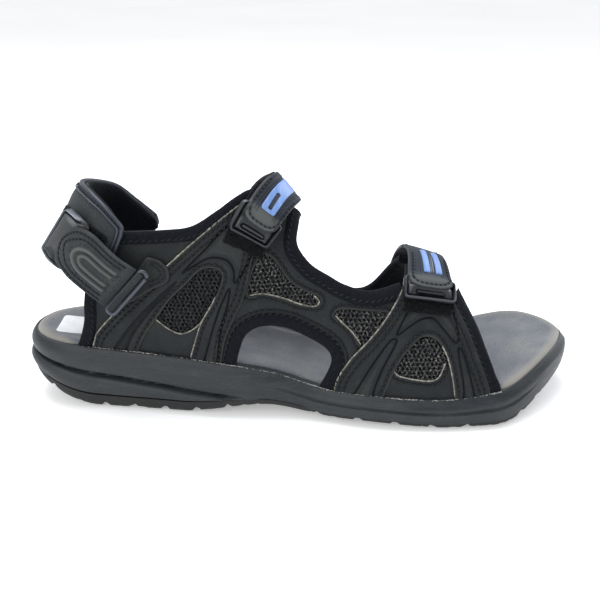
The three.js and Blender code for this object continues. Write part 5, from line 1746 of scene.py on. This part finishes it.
def tab_relief(points):
    rib_gap = distance_to(points, tab_ribs)
    return (seam_dip(points, tab_rows, 0.42, 0.9) + 1.1 * hump(rib_gap, 0, 1.4)
            - 0.45 * hump(rib_gap, 2.0, 0.6) - 0.3 * (1 - step_up(points[:, 0], 0, 7)))


heel_tab = panel("heel_tab_leather", [tab_loop], on_tab, TAB_LAYER, COLLAR_NUBUCK, tab_relief, 1.3, 0.9,
                 tab_marks)
settle(heel_tab, "heel_tab", "nubuck", "heel_strap_tab")
settle(sewn("heel_tab_stitches", tab_rows, on_tab, 0.35, THREAD, 2.5, 1.9, 0.7), "heel_tab", "nubuck")

frame_loop = rounded_box((33.5, -0.9), (TAB_LONG, TAB_TALL + 0.9), 2.6)


def frame_relief(points):
    """A double rim round the far end, and a tray that falls away towards the leather. The material paints a
    highlight on the rims and shade where the tray falls away.
    """
    gap = distance_to(points, [closed_line(frame_loop)])
    far = step_up(points[:, 0], 34, 42)
    rims = 1.0 * hump(gap, 0.75, 0.65) + 0.6 * hump(gap, 2.7, 0.55) - 0.9 * hump(gap, 1.75, 0.5)
    return rims * far - 1.7 * (1 - far) - 0.7 * step_up(gap, 3.0, 6.0) * far


frame_steps = np.array([0.75, 1.25, 1.75, 2.25, 2.75, 3.3])
frame_marks = [beside(closed_line(frame_loop), way * frame_steps, 0.7) for way in (1, -1)]
heel_end = panel("heel_tab_end_moulding", [frame_loop], on_tab, FRAME_LAYER, TPR, frame_relief, 1.1, 0.6,
                 frame_marks, (0.25, 0.5))
settle(heel_end, "heel_tab", "moulded_rubber", "heel_tab_end")
hook_loop = rounded_box((0.4 * TAB_LONG, 0.1 * TAB_TALL), (0.82 * TAB_LONG, 0.9 * TAB_TALL), 2.0)
hooks = panel("heel_hook_tape", [hook_loop], on_tab, HOOK_LAYER, LOOPS, spacing=2.0)
settle(hooks, "heel_tab", "hook_loop_tape", "heel_hook_patch")
print("heel tab", len(heel_tab.data.polygons), "faces")

# %% [markdown]
# ## The woven label, and what hides inside the sole
# A plain white satin label, 22 by 28 mm, is stuck in the heel. The steel shank, fibre board and foam are
# hidden, and have their own materials too.

# %% The label
def label_height(x, y):
    """The footbed's surface under the label, with its dish."""
    return rim(x) + BED_RISE + heel_dish(x, y) + bed_waves(x, y)


def on_bed(points, distance):
    return np.column_stack([points, label_height(*points.T) + distance])


LABEL_LONG, LABEL_WIDE, LABEL_AT = 28.0, 22.0, -130
label_loop = rounded_box((LABEL_AT, -LABEL_WIDE / 2), (LABEL_AT + LABEL_LONG, LABEL_WIDE / 2), 1.2)
label = panel("heel_label_satin", [label_loop], on_bed, (0.05, 0.5), LABEL, spacing=1.4, edge_radius=0.3)
settle(label, "root", "woven_label", "heel_label")
print("label laid in the heel")

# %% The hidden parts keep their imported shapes
for node_name, look in (("shank", STEEL), ("insole_board", BOARD), ("footbed_foam", FOAM),
                        ("heel_collar_pad", FOAM)):
    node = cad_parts[node_name]
    node.data.materials.clear()
    node.data.materials.append(look)
print("hidden parts:", [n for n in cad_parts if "shank" in n or "board" in n or "foam" in n])
